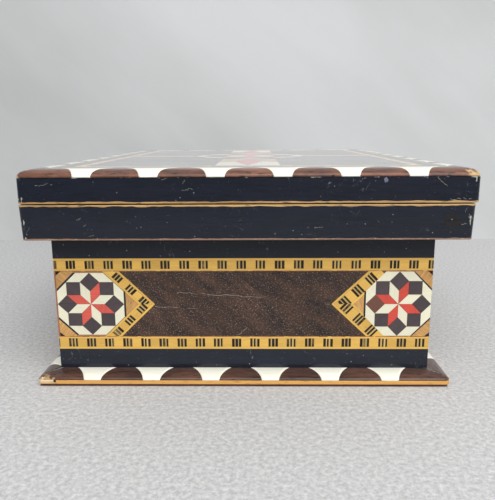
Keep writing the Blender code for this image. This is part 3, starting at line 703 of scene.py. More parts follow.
def end_tree(tree, result, geometry, seed, woods, odd_wood=None):
    """Every tree ends here: real geometry, then a shade for each slip, then its material."""
    real = add(tree, "GeometryNodeRealizeInstances", {"Geometry": geometry}).outputs[0]
    done = add(tree, "GeometryNodeGroup", {"Geometry": real, "Seed": seed},
               node_tree=finish_group).outputs["Geometry"]
    choices = []
    for number, wood_socket in enumerate(woods):
        same = add(tree, "FunctionNodeCompare", {2: named(tree, "wood", "INT"), 3: number},
                   data_type="INT", operation="EQUAL").outputs[0]
        choices.append((same, wood_socket))
    if odd_wood is not None:
        choices.append((named(tree, "odd", "BOOLEAN"), odd_wood))
    for chosen, wood_socket in choices:
        done = add(tree, "GeometryNodeSetMaterial", {"Geometry": done, "Selection": chosen,
                                                     "Material": wood_socket}).outputs["Geometry"]
    tree.links.new(done, result["Geometry"])


def run_tree(name, tree, **values):
    """Evaluate a tree with these inputs and return its result as a plain mesh object."""
    carrier = bpy.data.objects.new(name, bpy.data.meshes.new(name + "_carrier"))
    bpy.context.scene.collection.objects.link(carrier)
    growth = carrier.modifiers.new("growth", "NODES")
    growth.node_group = tree
    sockets = {item.name: item.identifier for item in tree.interface.items_tree
               if item.item_type == "SOCKET" and item.in_out == "INPUT"}
    for label, value in values.items():
        growth[sockets[label.replace("_", " ")]] = value
    flatten(carrier, growth)
    mesh = carrier.data
    mesh.name = name
    if mesh.materials and mesh.materials[0] is None:
        mesh.materials.pop(index=0)
    for note in ("wood", "odd"):
        if note in mesh.attributes:
            mesh.attributes.remove(mesh.attributes[note])
    return carrier


# %% Build the banding tree: groups of bars in a framed strip
BAR_PROUD = 0.012 * MM
BAR_SHAKE = 0.06 * MM
THIN_BAR = (0.72, 0.94, 1.0)
FAT_BAR = (1.22, 1.0, 1.0)


def block(tree, width, height, depth, top, along_x=True):
    """A flat block whose top lies at a height, with grain along x or along y."""
    cube = add(tree, "GeometryNodeMeshCube", {"Size": vector(tree, width, height, depth)})
    x, y = split(tree, position(tree))[:2]
    flow = vector(tree, x, y) if along_x else vector(tree, y, x)
    grained = store(tree, cube.outputs["Mesh"], "grain", flow, "FLOAT2", "CORNER")
    middle = minus(tree, top, times(tree, depth, 0.5))
    return shifted(tree, grained, vector(tree, z=middle))


def build_banding_tree():
    tree, out, result = new_group(
        "banding_row", "GeometryNodeTree",
        {"Length": 0.1, "Height": 0.0037, "Margin": 0.0007, "Pitch": 0.0054, "First": 0.0,
         "Groups": 20, "Bars": 3, "Bar width": 0.00062, "Bar gap": 0.00037, "Joint": 0.00006,
         "Depth": 0.0003, "Seed": 1, "Strip wood": "Material", "Line wood": "Material",
         "Bar wood": "Material", "Spacer wood": "Material"}, {"Geometry": "Geometry"})
    inner = minus(tree, out["Height"], times(tree, out["Margin"], 2.0))
    step = plus(tree, out["Bar width"], out["Bar gap"])
    group_width = minus(tree, times(tree, step, out["Bars"]), out["Bar gap"])
    middle = times(tree, out["Height"], 0.5)

    line = mark(tree, block(tree, out["Length"], minus(tree, out["Margin"], out["Joint"]),
                            out["Depth"], 0.0), 1)
    half_length = times(tree, out["Length"], 0.5)
    lines = []
    for side in (-1.0, 1.0):
        away = times(tree, minus(tree, out["Height"], out["Margin"]), side * 0.5)
        spot = vector(tree, half_length, plus(tree, middle, away))
        lines.append(shifted(tree, line, spot))

    gap_width = minus(tree, minus(tree, out["Pitch"], group_width), out["Joint"])
    blank = mark(tree, block(tree, gap_width, inner, out["Depth"], 0.0), 0)
    half_back = minus(tree, out["First"], times(tree, out["Pitch"], 0.5))
    more = plus(tree, out["Groups"], 1.0)
    blanks = instances(tree, line_of_points(tree, more, half_back, out["Pitch"]), blank)

    pale = mark(tree, block(tree, group_width, inner, out["Depth"], 0.0, False), 3)
    pales = instances(tree, line_of_points(tree, out["Groups"], out["First"], out["Pitch"]), pale)

    bar = mark(tree, block(tree, out["Bar width"], times(tree, inner, 0.97), out["Depth"],
                           BAR_PROUD, False), 2)
    number = tree.nodes.new("GeometryNodeInputIndex").outputs[0]
    group_number = calc(tree, "FLOOR", calc(tree, "DIVIDE", plus(tree, number, 0.5), out["Bars"]))
    within = minus(tree, number, times(tree, group_number, out["Bars"]))
    centre = times(tree, minus(tree, out["Bars"], 1.0), 0.5)
    inside = times(tree, minus(tree, within, centre), step)
    bar_x = plus(tree, plus(tree, out["First"], inside),
                 times(tree, group_number, out["Pitch"]))
    jitter = add(tree, "FunctionNodeRandomValue",
                 {0: (-BAR_SHAKE, -BAR_SHAKE, 0.0), 1: (BAR_SHAKE, BAR_SHAKE, 0.004 * MM),
                  "Seed": out["Seed"]}, data_type="FLOAT_VECTOR").outputs[0]
    total = times(tree, out["Groups"], out["Bars"])
    points = add(tree, "GeometryNodeSetPosition",
                 {"Geometry": line_of_points(tree, total, 0.0, 0.001),
                  "Position": vector(tree, bar_x), "Offset": jitter}).outputs[0]
    fatness = add(tree, "FunctionNodeRandomValue", {0: THIN_BAR, 1: FAT_BAR, "Seed": out["Seed"]},
                  data_type="FLOAT_VECTOR").outputs[0]
    bars = instances(tree, points, bar, fatness)

    raised = shifted(tree, join(tree, blanks, pales, bars), vector(tree, 0.0, middle))
    woods = [out[f"{part} wood"] for part in ("Strip", "Line", "Bar", "Spacer")]
    end_tree(tree, result, join(tree, raised, *lines), out["Seed"], woods)
    return tree


banding_tree = build_banding_tree()
print("banding tree nodes:", len(banding_tree.nodes))


# %% Build the star tree: eight rhombi, eight squares, eight outer rhombi
STAR_HAIRLINE = 0.006


def quad_slip(tree, corners, side, depth, number):
    """A four-cornered slip. Corners are in units of the star's side, anticlockwise."""
    outline = add(tree, "GeometryNodeCurvePrimitiveQuadrilateral",
                  {f"Point {i + 1}": (*corner, 0.0) for i, corner in enumerate(corners)},
                  mode="POINTS")
    sized = add(tree, "GeometryNodeTransform",
                {"Geometry": outline.outputs[0], "Scale": vector(tree, side, side, 1.0)}).outputs[0]
    flat = add(tree, "GeometryNodeFillCurve", {"Curve": sized}, mode="NGONS").outputs[0]
    raised = add(tree, "GeometryNodeExtrudeMesh", {"Mesh": flat, "Offset": vector(tree, z=1.0),
                                                   "Offset Scale": depth}).outputs["Mesh"]
    floor = add(tree, "GeometryNodeFlipFaces", {"Mesh": flat}).outputs[0]
    solid = add(tree, "GeometryNodeMergeByDistance", {"Geometry": join(tree, raised, floor),
                                                      "Distance": 0.001 * MM}).outputs[0]
    lowered = shifted(tree, solid, vector(tree, z=times(tree, depth, -1.0)))
    x, y = split(tree, position(tree))[:2]
    grained = store(tree, lowered, "grain", vector(tree, x, y), "FLOAT2", "CORNER")
    return mark(tree, grained, number)


def spoke(turn, length=1.0):
    """A point of the star, at so many eighths of a turn from its axis."""
    return towards(turn * math.pi / 4) * length


def build_star_tree():
    tree, out, result = new_group(
        "star_medallion", "GeometryNodeTree",
        {"Side": 0.00381, "Depth": 0.0003, "Turn": 0.0, "Odd square": -1, "Seed": 1,
         "First wood": "Material", "Second wood": "Material", "Square wood": "Material",
         "Odd wood": "Material", "Outer wood": "Material"}, {"Geometry": "Geometry"})
    tip = spoke(0) + spoke(1)
    back_tip = spoke(0) + spoke(-1)
    square_top = spoke(0, 1 + math.sqrt(2))
    next_square_top = spoke(1, 1 + math.sqrt(2))
    vertex = tip + spoke(-1) + spoke(2)
    shapes = ((4, "First", (Vector((0, 0)), spoke(1), spoke(1) + spoke(2), spoke(2))),
              (4, "Second", (Vector((0, 0)), spoke(0), tip, spoke(1))),
              (8, "Square", (spoke(0), back_tip, square_top, tip)),
              (8, "Outer", (tip, square_top, vertex, next_square_top)))
    rings, woods = [], []
    for number_of_wood, (count, wood_name, corners) in enumerate(shapes):
        trimmed = [(p.x, p.y) for p in shrink(list(corners), STAR_HAIRLINE)]
        piece = quad_slip(tree, trimmed, out["Side"], out["Depth"], number_of_wood)
        number = tree.nodes.new("GeometryNodeInputIndex").outputs[0]
        angle = plus(tree, times(tree, number, 2 * math.pi / count), out["Turn"])
        points = line_of_points(tree, count, 0.0, 0.0)
        ring = add(tree, "GeometryNodeInstanceOnPoints",
                   {"Points": points, "Instance": piece,
                    "Rotation": vector(tree, z=angle)}).outputs["Instances"]
        if wood_name == "Square":
            same = add(tree, "FunctionNodeCompare", {2: number, 3: out["Odd square"]},
                       data_type="INT", operation="EQUAL").outputs[0]
            ring = store(tree, ring, "odd", same, "BOOLEAN", "INSTANCE")
        rings.append(ring)
        woods.append(out[f"{wood_name} wood"])
    end_tree(tree, result, join(tree, *rings), out["Seed"], woods, out["Odd wood"])
    return tree


star_tree = build_star_tree()
print("star tree nodes:", len(star_tree.nodes))


# %% Build the scallop tree: bone and rosewood bent over a rolled edge
def grid_cell(tree, columns, rows):
    """A unit cell, x from -1 to 1 and y from 0 to 1, to be stretched by later nodes."""
    grid = add(tree, "GeometryNodeMeshGrid", {"Size X": 2.0, "Size Y": 1.0, "Vertices X": columns,
                                              "Vertices Y": rows}).outputs["Mesh"]
    return shifted(tree, grid, (0.0, 0.5, 0.0))


def build_scallop_tree():
    tree, out, result = new_group(
        "scallop_row", "GeometryNodeTree",
        {"Length": 0.12, "Scallops": 6, "Pitch": 0.0174, "Foot": 0.0052, "Reach": 0.0076,
         "Roll": 0.004, "Rise": 0.0019, "Flat": 0.0018, "Proud": 0.00003, "Shift": 0.0, "Seed": 1,
         "Dome wood": "Material", "Scallop bone": "Material"}, {"Geometry": "Geometry"})
    flat_share = 0.25
    x, y, z = split(tree, position(tree))

    roll_part = calc(tree, "MINIMUM", calc(tree, "DIVIDE", y, 1 - flat_share), 1.0)
    flat_part = calc(tree, "MAXIMUM", calc(tree, "DIVIDE", minus(tree, y, 1 - flat_share),
                                           flat_share), 0.0)
    angle = times(tree, roll_part, math.pi / 2)
    turned = minus(tree, 1.0, calc(tree, "COSINE", angle))
    flat_run = times(tree, flat_part, out["Flat"])
    inset = plus(tree, times(tree, turned, out["Roll"]), flat_run)
    height = times(tree, calc(tree, "SINE", angle), out["Rise"])
    surface = plus(tree, times(tree, out["Rise"], angle), flat_run)
    surface = plus(tree, surface, times(tree, turned, minus(tree, out["Roll"], out["Rise"])))
    part = calc(tree, "DIVIDE", surface, out["Reach"])
    fall = calc(tree, "POWER", minus(tree, 1.0, calc(tree, "POWER", part, 1.5)), 2 / 3)
    dome_half = times(tree, minus(tree, out["Pitch"], out["Foot"]), 0.5)
    half_pitch = times(tree, out["Pitch"], 0.5)
    bone_half = minus(tree, half_pitch, times(tree, dome_half, fall))

    def row(count, half_width, columns, lift, number):
        cell = grid_cell(tree, columns, 13)
        cell = add(tree, "GeometryNodeSetPosition",
                   {"Geometry": cell, "Position": vector(
                       tree, times(tree, x, half_width), y, lift)}).outputs[0]
        reach = times(tree, minus(tree, count, 1.0), out["Pitch"])
        first = times(tree, reach, -0.5)
        placed = instances(tree, line_of_points(tree, count, first, out["Pitch"]), cell)
        real = add(tree, "GeometryNodeRealizeInstances", {"Geometry": placed}).outputs[0]
        return mark(tree, real, number)

    domes = row(plus(tree, out["Scallops"], 3.0), half_pitch, 17, 0.0, 0)
    bones = row(out["Scallops"], bone_half, 9, out["Proud"], 1)
    both = join(tree, domes, bones)
    both = store(tree, both, "grain", vector(tree, x, inset), "FLOAT2", "CORNER")
    limit = minus(tree, times(tree, out["Length"], 0.5), inset)
    slid = plus(tree, x, out["Shift"])
    clamped = calc(tree, "MAXIMUM", calc(tree, "MINIMUM", slid, limit),
                   times(tree, limit, -1.0))
    lean_out = times(tree, z, calc(tree, "COSINE", angle))
    lean_up = times(tree, z, calc(tree, "SINE", angle))
    bent = vector(tree, clamped, minus(tree, inset, lean_out),
                  plus(tree, height, lean_up))
    curved = add(tree, "GeometryNodeSetPosition", {"Geometry": both, "Position": bent}).outputs[0]
    tidy = add(tree, "GeometryNodeMergeByDistance", {"Geometry": curved,
                                                     "Distance": 0.002 * MM}).outputs[0]
    end_tree(tree, result, tidy, out["Seed"], [out["Dome wood"], out["Scallop bone"]])
    return tree


scallop_tree = build_scallop_tree()
print("scallop tree nodes:", len(scallop_tree.nodes))

# %% [markdown]
# ## Marquetry faces of the case
# Each wall is faced from the bottom up: a black band, a strip of banding, the field, banding and black
# again. The field holds a star in an octagon at each end, a chevron of banding around its inner side,
# and walnut between, laid in slanting leaves. One function makes all four walls; only the length differs.

# %% Levels and widths shared by the four faces
plate_low, plate_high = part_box("base_plate")
front_low, front_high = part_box("marquetry_front")
side_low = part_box("marquetry_hinge_side")[0]
case_foot = plate_high.z
BAND_LOW = case_foot + 5.78 * MM
FIELD_LOW = case_foot + 9.62 * MM
FIELD_HIGH = case_foot + 28.96 * MM
BAND_HIGH = case_foot + 32.66 * MM
FACE_FOOT = case_foot + 0.06 * MM
FACE_HEAD = front_high.z + 0.15 * MM
FACE_THICKNESS = front_high.y - front_low.y
EDGING = 0.45 * MM
STAR_SIDE = 3.81 * MM
APOTHEM = STAR_SIDE * (1 + math.sqrt(2))
STAR_LINE = 0.5 * MM
BAR_MARGIN = 0.63 * MM
ARM_BACK = 4 * MM
ARM_PITCH = 4.95 * MM
print("banding from", round(BAND_LOW / MM, 2), "to", round(BAND_HIGH / MM, 2), "mm")


def banding(name, length, height, pitch, first, seed, start, angle=0.0, **extra):
    """A banding row laid on a flat face: it runs from its start point at an angle."""
    row = run_tree(name, banding_tree, Length=length, Height=height, Margin=BAR_MARGIN, Pitch=pitch,
                   First=first, Groups=max(int((length - first) / pitch) + 1, 1), Seed=seed,
                   Strip_wood=boxwood, Line_wood=boxwood, Bar_wood=bar_wood,
                   Spacer_wood=spacer_wood, **extra)
    row.data.transform(Matrix.Translation((*start, 0)) @ Matrix.Rotation(angle, 4, "Z"))
    return row


def cut_mesh(piece, start, direction):
    """Keep what lies on the left of a line drawn on the face, and close the cut slips."""
    normal = Vector((direction[1], -direction[0], 0)).normalized()
    bm = bmesh.new()
    bm.from_mesh(piece.data)
    result = bmesh.ops.bisect_plane(bm, geom=bm.verts[:] + bm.edges[:] + bm.faces[:],
                                    dist=1e-8, plane_co=(*start, 0), plane_no=normal,
                                    clear_outer=True)
    rim = [item for item in result["geom_cut"] if isinstance(item, bmesh.types.BMEdge)]
    bmesh.ops.holes_fill(bm, edges=rim, sides=0)
    bm.to_mesh(piece.data)
    bm.free()


# %% Lay one star with its octagon line, corners and chevron
def star_corner(veneer, centre, to_edge, to_top):
    """The black line and the pale triangle outside one slanting side of the octagon."""
    half = STAR_SIDE
    span = STAR_LINE * math.sqrt(2)

    def local(points):
        placed = [Vector((centre[0] + to_edge * u, centre[1] + to_top * v)) for u, v in points]
        return placed if to_edge * to_top > 0 else placed[::-1]

    room = (FIELD_HIGH - FIELD_LOW) / 2
    line = [(APOTHEM, half), (APOTHEM, half + span), (half + span, APOTHEM), (half, APOTHEM)]
    corner = [(APOTHEM, half + span), (APOTHEM, room), (half + span, room), (half + span, APOTHEM)]
    veneer.slip(local(line), ebonised_line)
    veneer.slip(local(corner), orangewood, angle=dice.uniform(0.5, 1.0) * to_edge * to_top)
    chip = [(APOTHEM, room - 1.3 * MM), (APOTHEM, room), (APOTHEM - 1.5 * MM, room)]
    veneer.slip(local(chip), bar_wood, top=0.012 * MM, tone=0.1)


def chevron(tag, centre, inward, inner_reach, outer_reach, outer_start, seed):
    """Two arms of banding that meet in a mitre on the centre line of the face."""
    room = (FIELD_HIGH - FIELD_LOW) / 2
    arms = []
    for up in (1, -1):
        foot = Vector((outer_start, room))
        tip = Vector((outer_reach, 0.0))
        along = (tip - foot).normalized()
        across = Vector((-along.y, along.x))
        width = abs((Vector((inner_reach, 0.0)) - tip).dot(across))
        length = (tip - foot).length + ARM_BACK + 3 * MM
        arm = banding(f"{tag}_arm", length, width, ARM_PITCH,
                      ARM_BACK + (1.0 if up > 0 else 0.2) * MM, seed + up, (0, 0))
        start = foot - along * ARM_BACK
        turn = Matrix.Rotation(math.atan2(along.y, along.x), 4, "Z")
        arm.data.transform(Matrix.Translation((start.x, start.y, 0)) @ turn
                           @ Matrix.Translation((0, -width, 0)))
        cut_mesh(arm, (0, room), (-1, 0))
        cut_mesh(arm, (0, 0.02 * MM), (1, 0))
        mirror = Matrix.Diagonal((inward, up, 1, 1))
        arm.data.transform(Matrix.Translation((*centre, 0)) @ mirror)
        if inward * up < 0:
            arm.data.flip_normals()
        arms.append(arm)
    return arms


# %% Fill the field between the chevrons with slanting walnut leaves
LEAF_GAP = 0.008 * MM
LEAF_TOP = -0.02 * MM


def walnut_field(veneer, left, right, middle):
    """left and right are (reach, start): where a chevron's outer edge ends and begins."""
    room = (FIELD_HIGH - FIELD_LOW) / 2
    slant = Vector((0.777, -0.629))
    edge = left[1] - 2 * room
    leaf = rectangle(left[1], middle - room, right[1], middle + room)
    while edge < right[1] and len(leaf) >= 3:
        edge += dice.uniform(11.5, 15.0) * MM
        start = Vector((edge, middle + room))
        veneer.slip(keep_side(leaf, start, -slant), walnut, angle=dice.uniform(-0.75, -0.45),
                    gap=LEAF_GAP, top=LEAF_TOP, tone=dice.uniform(0.3, 0.7))
        leaf = keep_side(leaf, start, slant)
    if len(leaf) >= 3:
        veneer.slip(leaf, walnut, angle=-0.6, gap=LEAF_GAP, top=LEAF_TOP)


def hairline_crack(veneer, start, end, sway, steps=9):
    """A pale crack in the polish: short slivers that wander from start to end."""
    start, end = Vector(start), Vector(end)
    side = Vector((start.y - end.y, end.x - start.x)).normalized()
    path = [start.lerp(end, i / steps) + side * dice.uniform(-sway, sway) for i in range(steps + 1)]
    for here, after in zip(path, path[1:]):
        if dice.random() < 0.15:
            continue
        half = side * dice.uniform(0.03, 0.07) * MM
        veneer.slip([here - half, after - half * 0.6, after + half * 0.6, here + half], crack_pale,
                    top=0.014 * MM, gap=0)


# %% Face a wall
def ragged_line(veneer, u0, u1, level, material):
    """A thin uneven line of wood where banding meets the field."""
    here = u0
    while here < u1:
        after = min(here + dice.uniform(1.5, 4.0) * MM, u1)
        low, high = (level - dice.uniform(0.02, 0.12) * MM for _ in range(2))
        edge = [Vector((here, low - 0.08 * MM)), Vector((after, high - 0.08 * MM)),
                Vector((after, level + 0.05 * MM)), Vector((here, level + 0.05 * MM))]
        veneer.slip(edge, material, top=0.02 * MM, gap=0)
        here = after + dice.choice((0.0, 0.0, 0.4, 1.2)) * MM


def case_face(name, half, origin, right, seed, arms, bands, odd_square=-1, cracks=(), shift=0.0,
              wide=1.0, tall=1.0):
    """One wall's marquetry. Its centre line is x = 0, and y is the height above the floor.
    No two ends are cut alike: wide stretches the left one, and tall the right one's star."""
    dice.seed(seed)
    veneer = Veneer()
    middle = (FIELD_LOW + FIELD_HIGH) / 2
    room = (FIELD_HIGH - FIELD_LOW) / 2
    veneer.slip(rectangle(-half, FACE_FOOT, half, FACE_HEAD), glue, top=-0.1 * MM,
                depth=FACE_THICKNESS - 0.12 * MM, gap=0)
    veneer.slip(rectangle(-half, FACE_FOOT, half, BAND_LOW), ebonised, tone=0.9)
    veneer.slip(rectangle(-half, BAND_HIGH, half, FACE_HEAD), ebonised, tone=0.2)
    pieces, spans = [], []
    for side in (-1, 1):
        edging = EDGING - (shift if side > 0 else 0.0)
        reach = half - edging - APOTHEM
        centre = (side * reach, middle)
        inner_reach, outer_reach, outer_start = (value * MM for value in arms[side])
        end = Veneer()
        end.slip(rectangle(*sorted_box(side * half, FIELD_LOW, side * (half - edging), FIELD_HIGH)),
                 brown_wood_line, angle=math.pi / 2)
        for up in (-1, 1):
            star_corner(end, centre, side, up)
            seam = rectangle(*sorted_box(side * (half - edging), middle + up * APOTHEM,
                                         side * (reach - STAR_SIDE), middle + up * room))
            end.slip(shrink(seam, 0.03 * MM), brown_wood_line, tone=0.7, top=-0.02 * MM)
        black = rectangle(*sorted_box(side * (reach - APOTHEM), middle - STAR_SIDE,
                                      side * (reach - APOTHEM - STAR_LINE), middle + STAR_SIDE))
        end.slip(black, ebonised_line)
        base_u = reach - APOTHEM - STAR_LINE
        tip_u = reach - inner_reach
        rise = base_u - tip_u
        wedge = [Vector((side * base_u, middle - rise)), Vector((side * base_u, middle + rise)),
                 Vector((side * tip_u, middle))]
        if side < 0:
            wedge.reverse()
        end.slip(wedge, orangewood, angle=math.pi / 2 + 0.3 * side)
        star = run_tree(f"{name}_star", star_tree, Side=STAR_SIDE,
                        First_wood=redder_wood if odd_square > 0 and side > 0 else redwood,
                        Second_wood=bone, Square_wood=darkwood, Odd_wood=brownwood,
                        Outer_wood=bone, Odd_square=odd_square if side > 0 else -1,
                        Seed=seed + side)
        star.data.transform(Matrix.Translation((*centre, 0.012 * MM))
                            @ Matrix.Diagonal((1, tall if side > 0 else 1, 1, 1)))
        group = [end.build(f"{name}_end"), star] + chevron(name, centre, -side, inner_reach,
                                                           outer_reach, outer_start, seed + 10 * side)
        stretch = wide if side < 0 else 1.0
        for piece in group:
            for vertex in piece.data.vertices:
                vertex.co.x = side * half + (vertex.co.x - side * half) * stretch
        pieces += group
        spans.append([side * (half - (half - reach + value * MM) * stretch)
                      for value in arms[side][1:]])
    walnut_field(veneer, spans[0], spans[1], middle)
    for start, end, sway in cracks:
        hairline_crack(veneer, Vector(start) * MM, Vector(end) * MM, sway * MM)
    for level, top, (pitch, first) in ((BAND_LOW, FIELD_LOW, bands[0]), (FIELD_HIGH, BAND_HIGH, bands[1])):
        inner_edge = top if level < middle else level + 0.12 * MM
        ragged_line(veneer, -half + 0.1 * MM, half - 0.1 * MM, inner_edge, brown_wood_line)
        row = banding(f"{name}_band", 2 * half, top - level, pitch * MM, first * MM,
                      seed + int(first * 10), (-half, level))
        cut_mesh(row, (-half + 0.02 * MM, 0), (0, -1))
        cut_mesh(row, (half - 0.02 * MM, 0), (0, 1))
        pieces.append(row)
    flat = fuse(name + "_veneer", [veneer.build(name + "_slips")] + pieces)
    flat.data.transform(face_matrix(origin, right))
    return hand_over(flat, "case", "walnut", name)


def sorted_box(u0, v0, u1, v1):
    return min(u0, u1), min(v0, v1), max(u0, u1), max(v0, v1)


ebonised_line = wood("ebonised_line", (0.010, 0.009, 0.010), (0.006, 0.006, 0.006), gloss=0.3)
brown_wood_line = wood("brown_edging", (0.42, 0.17, 0.07), (0.24, 0.09, 0.04), pores=0.5, spread=0.5,
                       gloss=0.4)
crack_pale = wood("crack_pale", (0.36, 0.33, 0.27), (0.22, 0.20, 0.16), gloss=0.0)

middle_x = (front_low.x + front_high.x) / 2
middle_y = (front_low.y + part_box("marquetry_back")[1].y) / 2
half_x = (front_high.x - front_low.x) / 2
half_y = (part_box("marquetry_back")[0].y - front_high.y) / 2 - 0.05 * MM
front_arms = {-1: (13.1, 17.8, 8.2), 1: (12.55, 18.9, 8.7)}
even_arms = {-1: (13.1, 18.2, 8.5), 1: (13.1, 18.2, 8.5)}
front_cracks = (((-18.5, 26.3), (-10.5, 26.0), 0.25), ((-10.0, 25.9), (5.5, 24.9), 0.2),
                ((-25.0, 22.2), (-13.0, 21.6), 0.2), ((-1.6, 13.6), (1.5, 15.9), 0.25),
                ((23.2, 22.9), (24.6, 22.9), 0.05), ((25.5, 13.9), (28.5, 14.6), 0.2))
case_face("marquetry_front", half_x, (middle_x, front_low.y, 0), (1, 0, 0), 11, front_arms,
          ((5.25, 4.2), (5.343, -0.47)), odd_square=4, cracks=front_cracks, shift=0.42 * MM,
          wide=1.033, tall=1.03)
back_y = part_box("marquetry_back")[1].y
case_face("marquetry_back", half_x, (middle_x, back_y, 0), (-1, 0, 0), 23, even_arms,
          ((5.25, 2.5), (5.43, 3.3)), cracks=(((-9, 24), (6, 20), 0.3),))
case_face("marquetry_hinge_side", half_y, (side_low.x, middle_y, 0), (0, -1, 0), 37, even_arms,
          ((5.25, 3.1), (5.43, 2.2)), cracks=(((-30, 19), (-12, 20.5), 0.3), ((14, 27), (25, 25), 0.2)))
lock_face_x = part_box("marquetry_lock_side")[1].x
case_face("marquetry_lock_side", half_y, (lock_face_x, middle_y, 0), (0, 1, 0), 41, even_arms,
          ((5.25, 2.7), (5.43, 3.9)), cracks=(((-21, 27), (-5, 25.5), 0.3),))

# %% [markdown]
# ## Black bands of the lid and the collar
# The bands are boards faced with ebonised veneer. Their corners are rounded by years of hands, the veneer
# stops short of the edges, and the pale core shows there as a thin uneven line. Each band is one
# profile swept along the outline of the box: a list of points, each so far in and so high, carried
# round the corners. A mask on the corners and arrises tells the material where the polish has gone.

# %% Sweep a profile along part of a rounded outline
ARRIS_PLACE = 1.0 * MM


def outline_points(x0, x1, y0, y1, radius, spacing=0.9 * MM, arc_steps=10):
    """Four lists of points and outward normals, anticlockwise round a rectangle. Each runs from the
    middle of one rounded corner to the middle of the next, and the first is the front."""
    corners = ((x0, y0, 1, 1, math.pi), (x1, y0, -1, 1, 1.5 * math.pi),
               (x1, y1, -1, -1, 0.0), (x0, y1, 1, -1, 0.5 * math.pi))
    sides = []

    def half_corner(cx, cy, start):
        angles = [start + math.pi / 4 * k / arc_steps for k in range(arc_steps + 1)]
        return [(Vector((cx + radius * math.cos(a), cy + radius * math.sin(a))), towards(a))
                for a in angles]

    for i, (x, y, inx, iny, angle) in enumerate(corners):
        nx, ny, ninx, niny = corners[(i + 1) % 4][:4]
        nextx, nexty = nx + ninx * radius, ny + niny * radius
        end_angle = angle + math.pi / 2
        points = half_corner(x + inx * radius, y + iny * radius, angle + math.pi / 4)
        out = towards(end_angle)
        begin, finish = points[-1][0], Vector((nextx, nexty)) + out * radius
        count = max(int((finish - begin).length / spacing), 1)
        points += [(begin.lerp(finish, k / count), out) for k in range(1, count)]
        sides.append(points + half_corner(nextx, nexty, end_angle))
    return sides


def arris_wear(run):
    """Wear along a band, by the distance from its mitre: a line where the corner starts to turn."""
    line = max(0.0, 1 - abs(run - ARRIS_PLACE) / (0.15 * MM)) * 1.05
    return max(line, max(0.0, 1 - run / (2.4 * MM)) * 0.6)


def sweep(name, path, profile, material, wobble=0.0, seed=0, corner_wear=(1.0, 1.0)):
    """Carry a closed profile along a path of (point, normal), and cap its ends. A profile's points
    are (inward, z, wear, share of the wobble)."""
    bm = bmesh.new()
    grain = bm.loops.layers.uv.new("grain")
    tone = bm.verts.layers.float.new("tone")
    edge = bm.verts.layers.float.new("edge")
    chance = random.Random(seed)
    swing = [chance.uniform(-1, 1) for _ in range(len(path) + 3)]
    run = 0.0
    lengths, rings = [], []
    total = sum((b[0] - a[0]).length for a, b in zip(path, path[1:]))
    for i, (point, normal) in enumerate(path):
        if i:
            run += (point - path[i - 1][0]).length
        lengths.append(run)
        uneven = (swing[i] + 2 * swing[i + 1] + swing[i + 2]) / 4 * wobble
        ends = (arris_wear(run) * corner_wear[0] + arris_wear(total - run) * corner_wear[1])
        ring = []
        for inward, z, worn, moves in profile:
            spot = point - normal * inward
            vertex = bm.verts.new((spot.x, spot.y, z + uneven * moves))
            vertex[tone] = 0.5
            vertex[edge] = max(worn, ends if inward < 0.5 * MM else 0.0)
            ring.append(vertex)
        rings.append(ring)
    around = len(profile)
    heights = [0.0]
    for first, second in zip(profile, profile[1:] + profile[:1]):
        heights.append(heights[-1] + math.hypot(second[0] - first[0], second[1] - first[1]))
    for i in range(len(rings) - 1):
        for j in range(around):
            k = (j + 1) % around
            face = bm.faces.new((rings[i][j], rings[i + 1][j], rings[i + 1][k], rings[i][k]))
            spots = ((i, j), (i + 1, j), (i + 1, j + 1), (i, j + 1))
            for loop, (a, b) in zip(face.loops, spots):
                loop[grain].uv = (lengths[a] + seed * 0.013, heights[b] + seed * 0.0171)
    bm.faces.new(rings[0])
    bm.faces.new(rings[-1][::-1])
    bmesh.ops.recalc_face_normals(bm, faces=bm.faces)
    made = object_from(bm, name, material)
    made.data.shade_smooth()
    made.data.set_sharp_from_angle(angle=math.radians(35))
    return made


def stretch_between(path, axis, low, high):
    """The part of a path between two places along one axis, with points exactly at its ends."""
    kept = []
    for i, (point, normal) in enumerate(path):
        if i:
            before, before_normal = path[i - 1]
            for limit in sorted((low, high), reverse=point[axis] < before[axis]):
                if (before[axis] - limit) * (point[axis] - limit) < 0:
                    t = (limit - before[axis]) / (point[axis] - before[axis])
                    kept.append((before.lerp(point, t), before_normal.lerp(normal, t).normalized()))
        if low <= point[axis] <= high:
            kept.append((point, normal))
    return kept


def carve(piece, low, high, radius, axis_x, axis_z):
    """Cut a knuckle's round notch and its leaf's flat recess into a band."""
    low, high = Vector(low), Vector(high)
    bm = bmesh.new()
    bmesh.ops.create_cube(bm, size=1.0)
    bmesh.ops.scale(bm, vec=high - low, verts=bm.verts)
    bmesh.ops.translate(bm, vec=(low + high) / 2, verts=bm.verts)
    round_part = bmesh.ops.create_cone(bm, cap_ends=True, segments=32, radius1=radius,
                                       radius2=radius, depth=high.y - low.y)["verts"]
    bmesh.ops.rotate(bm, verts=round_part, matrix=Matrix.Rotation(math.pi / 2, 3, "X"))
    bmesh.ops.translate(bm, vec=(axis_x, (low.y + high.y) / 2, axis_z), verts=round_part)
    tool = object_from(bm, "knuckle_room")
    change = piece.modifiers.new("knuckle_room", "BOOLEAN")
    change.object = tool
    change.use_self = True
    flatten(piece, change)
    bpy.data.objects.remove(tool)


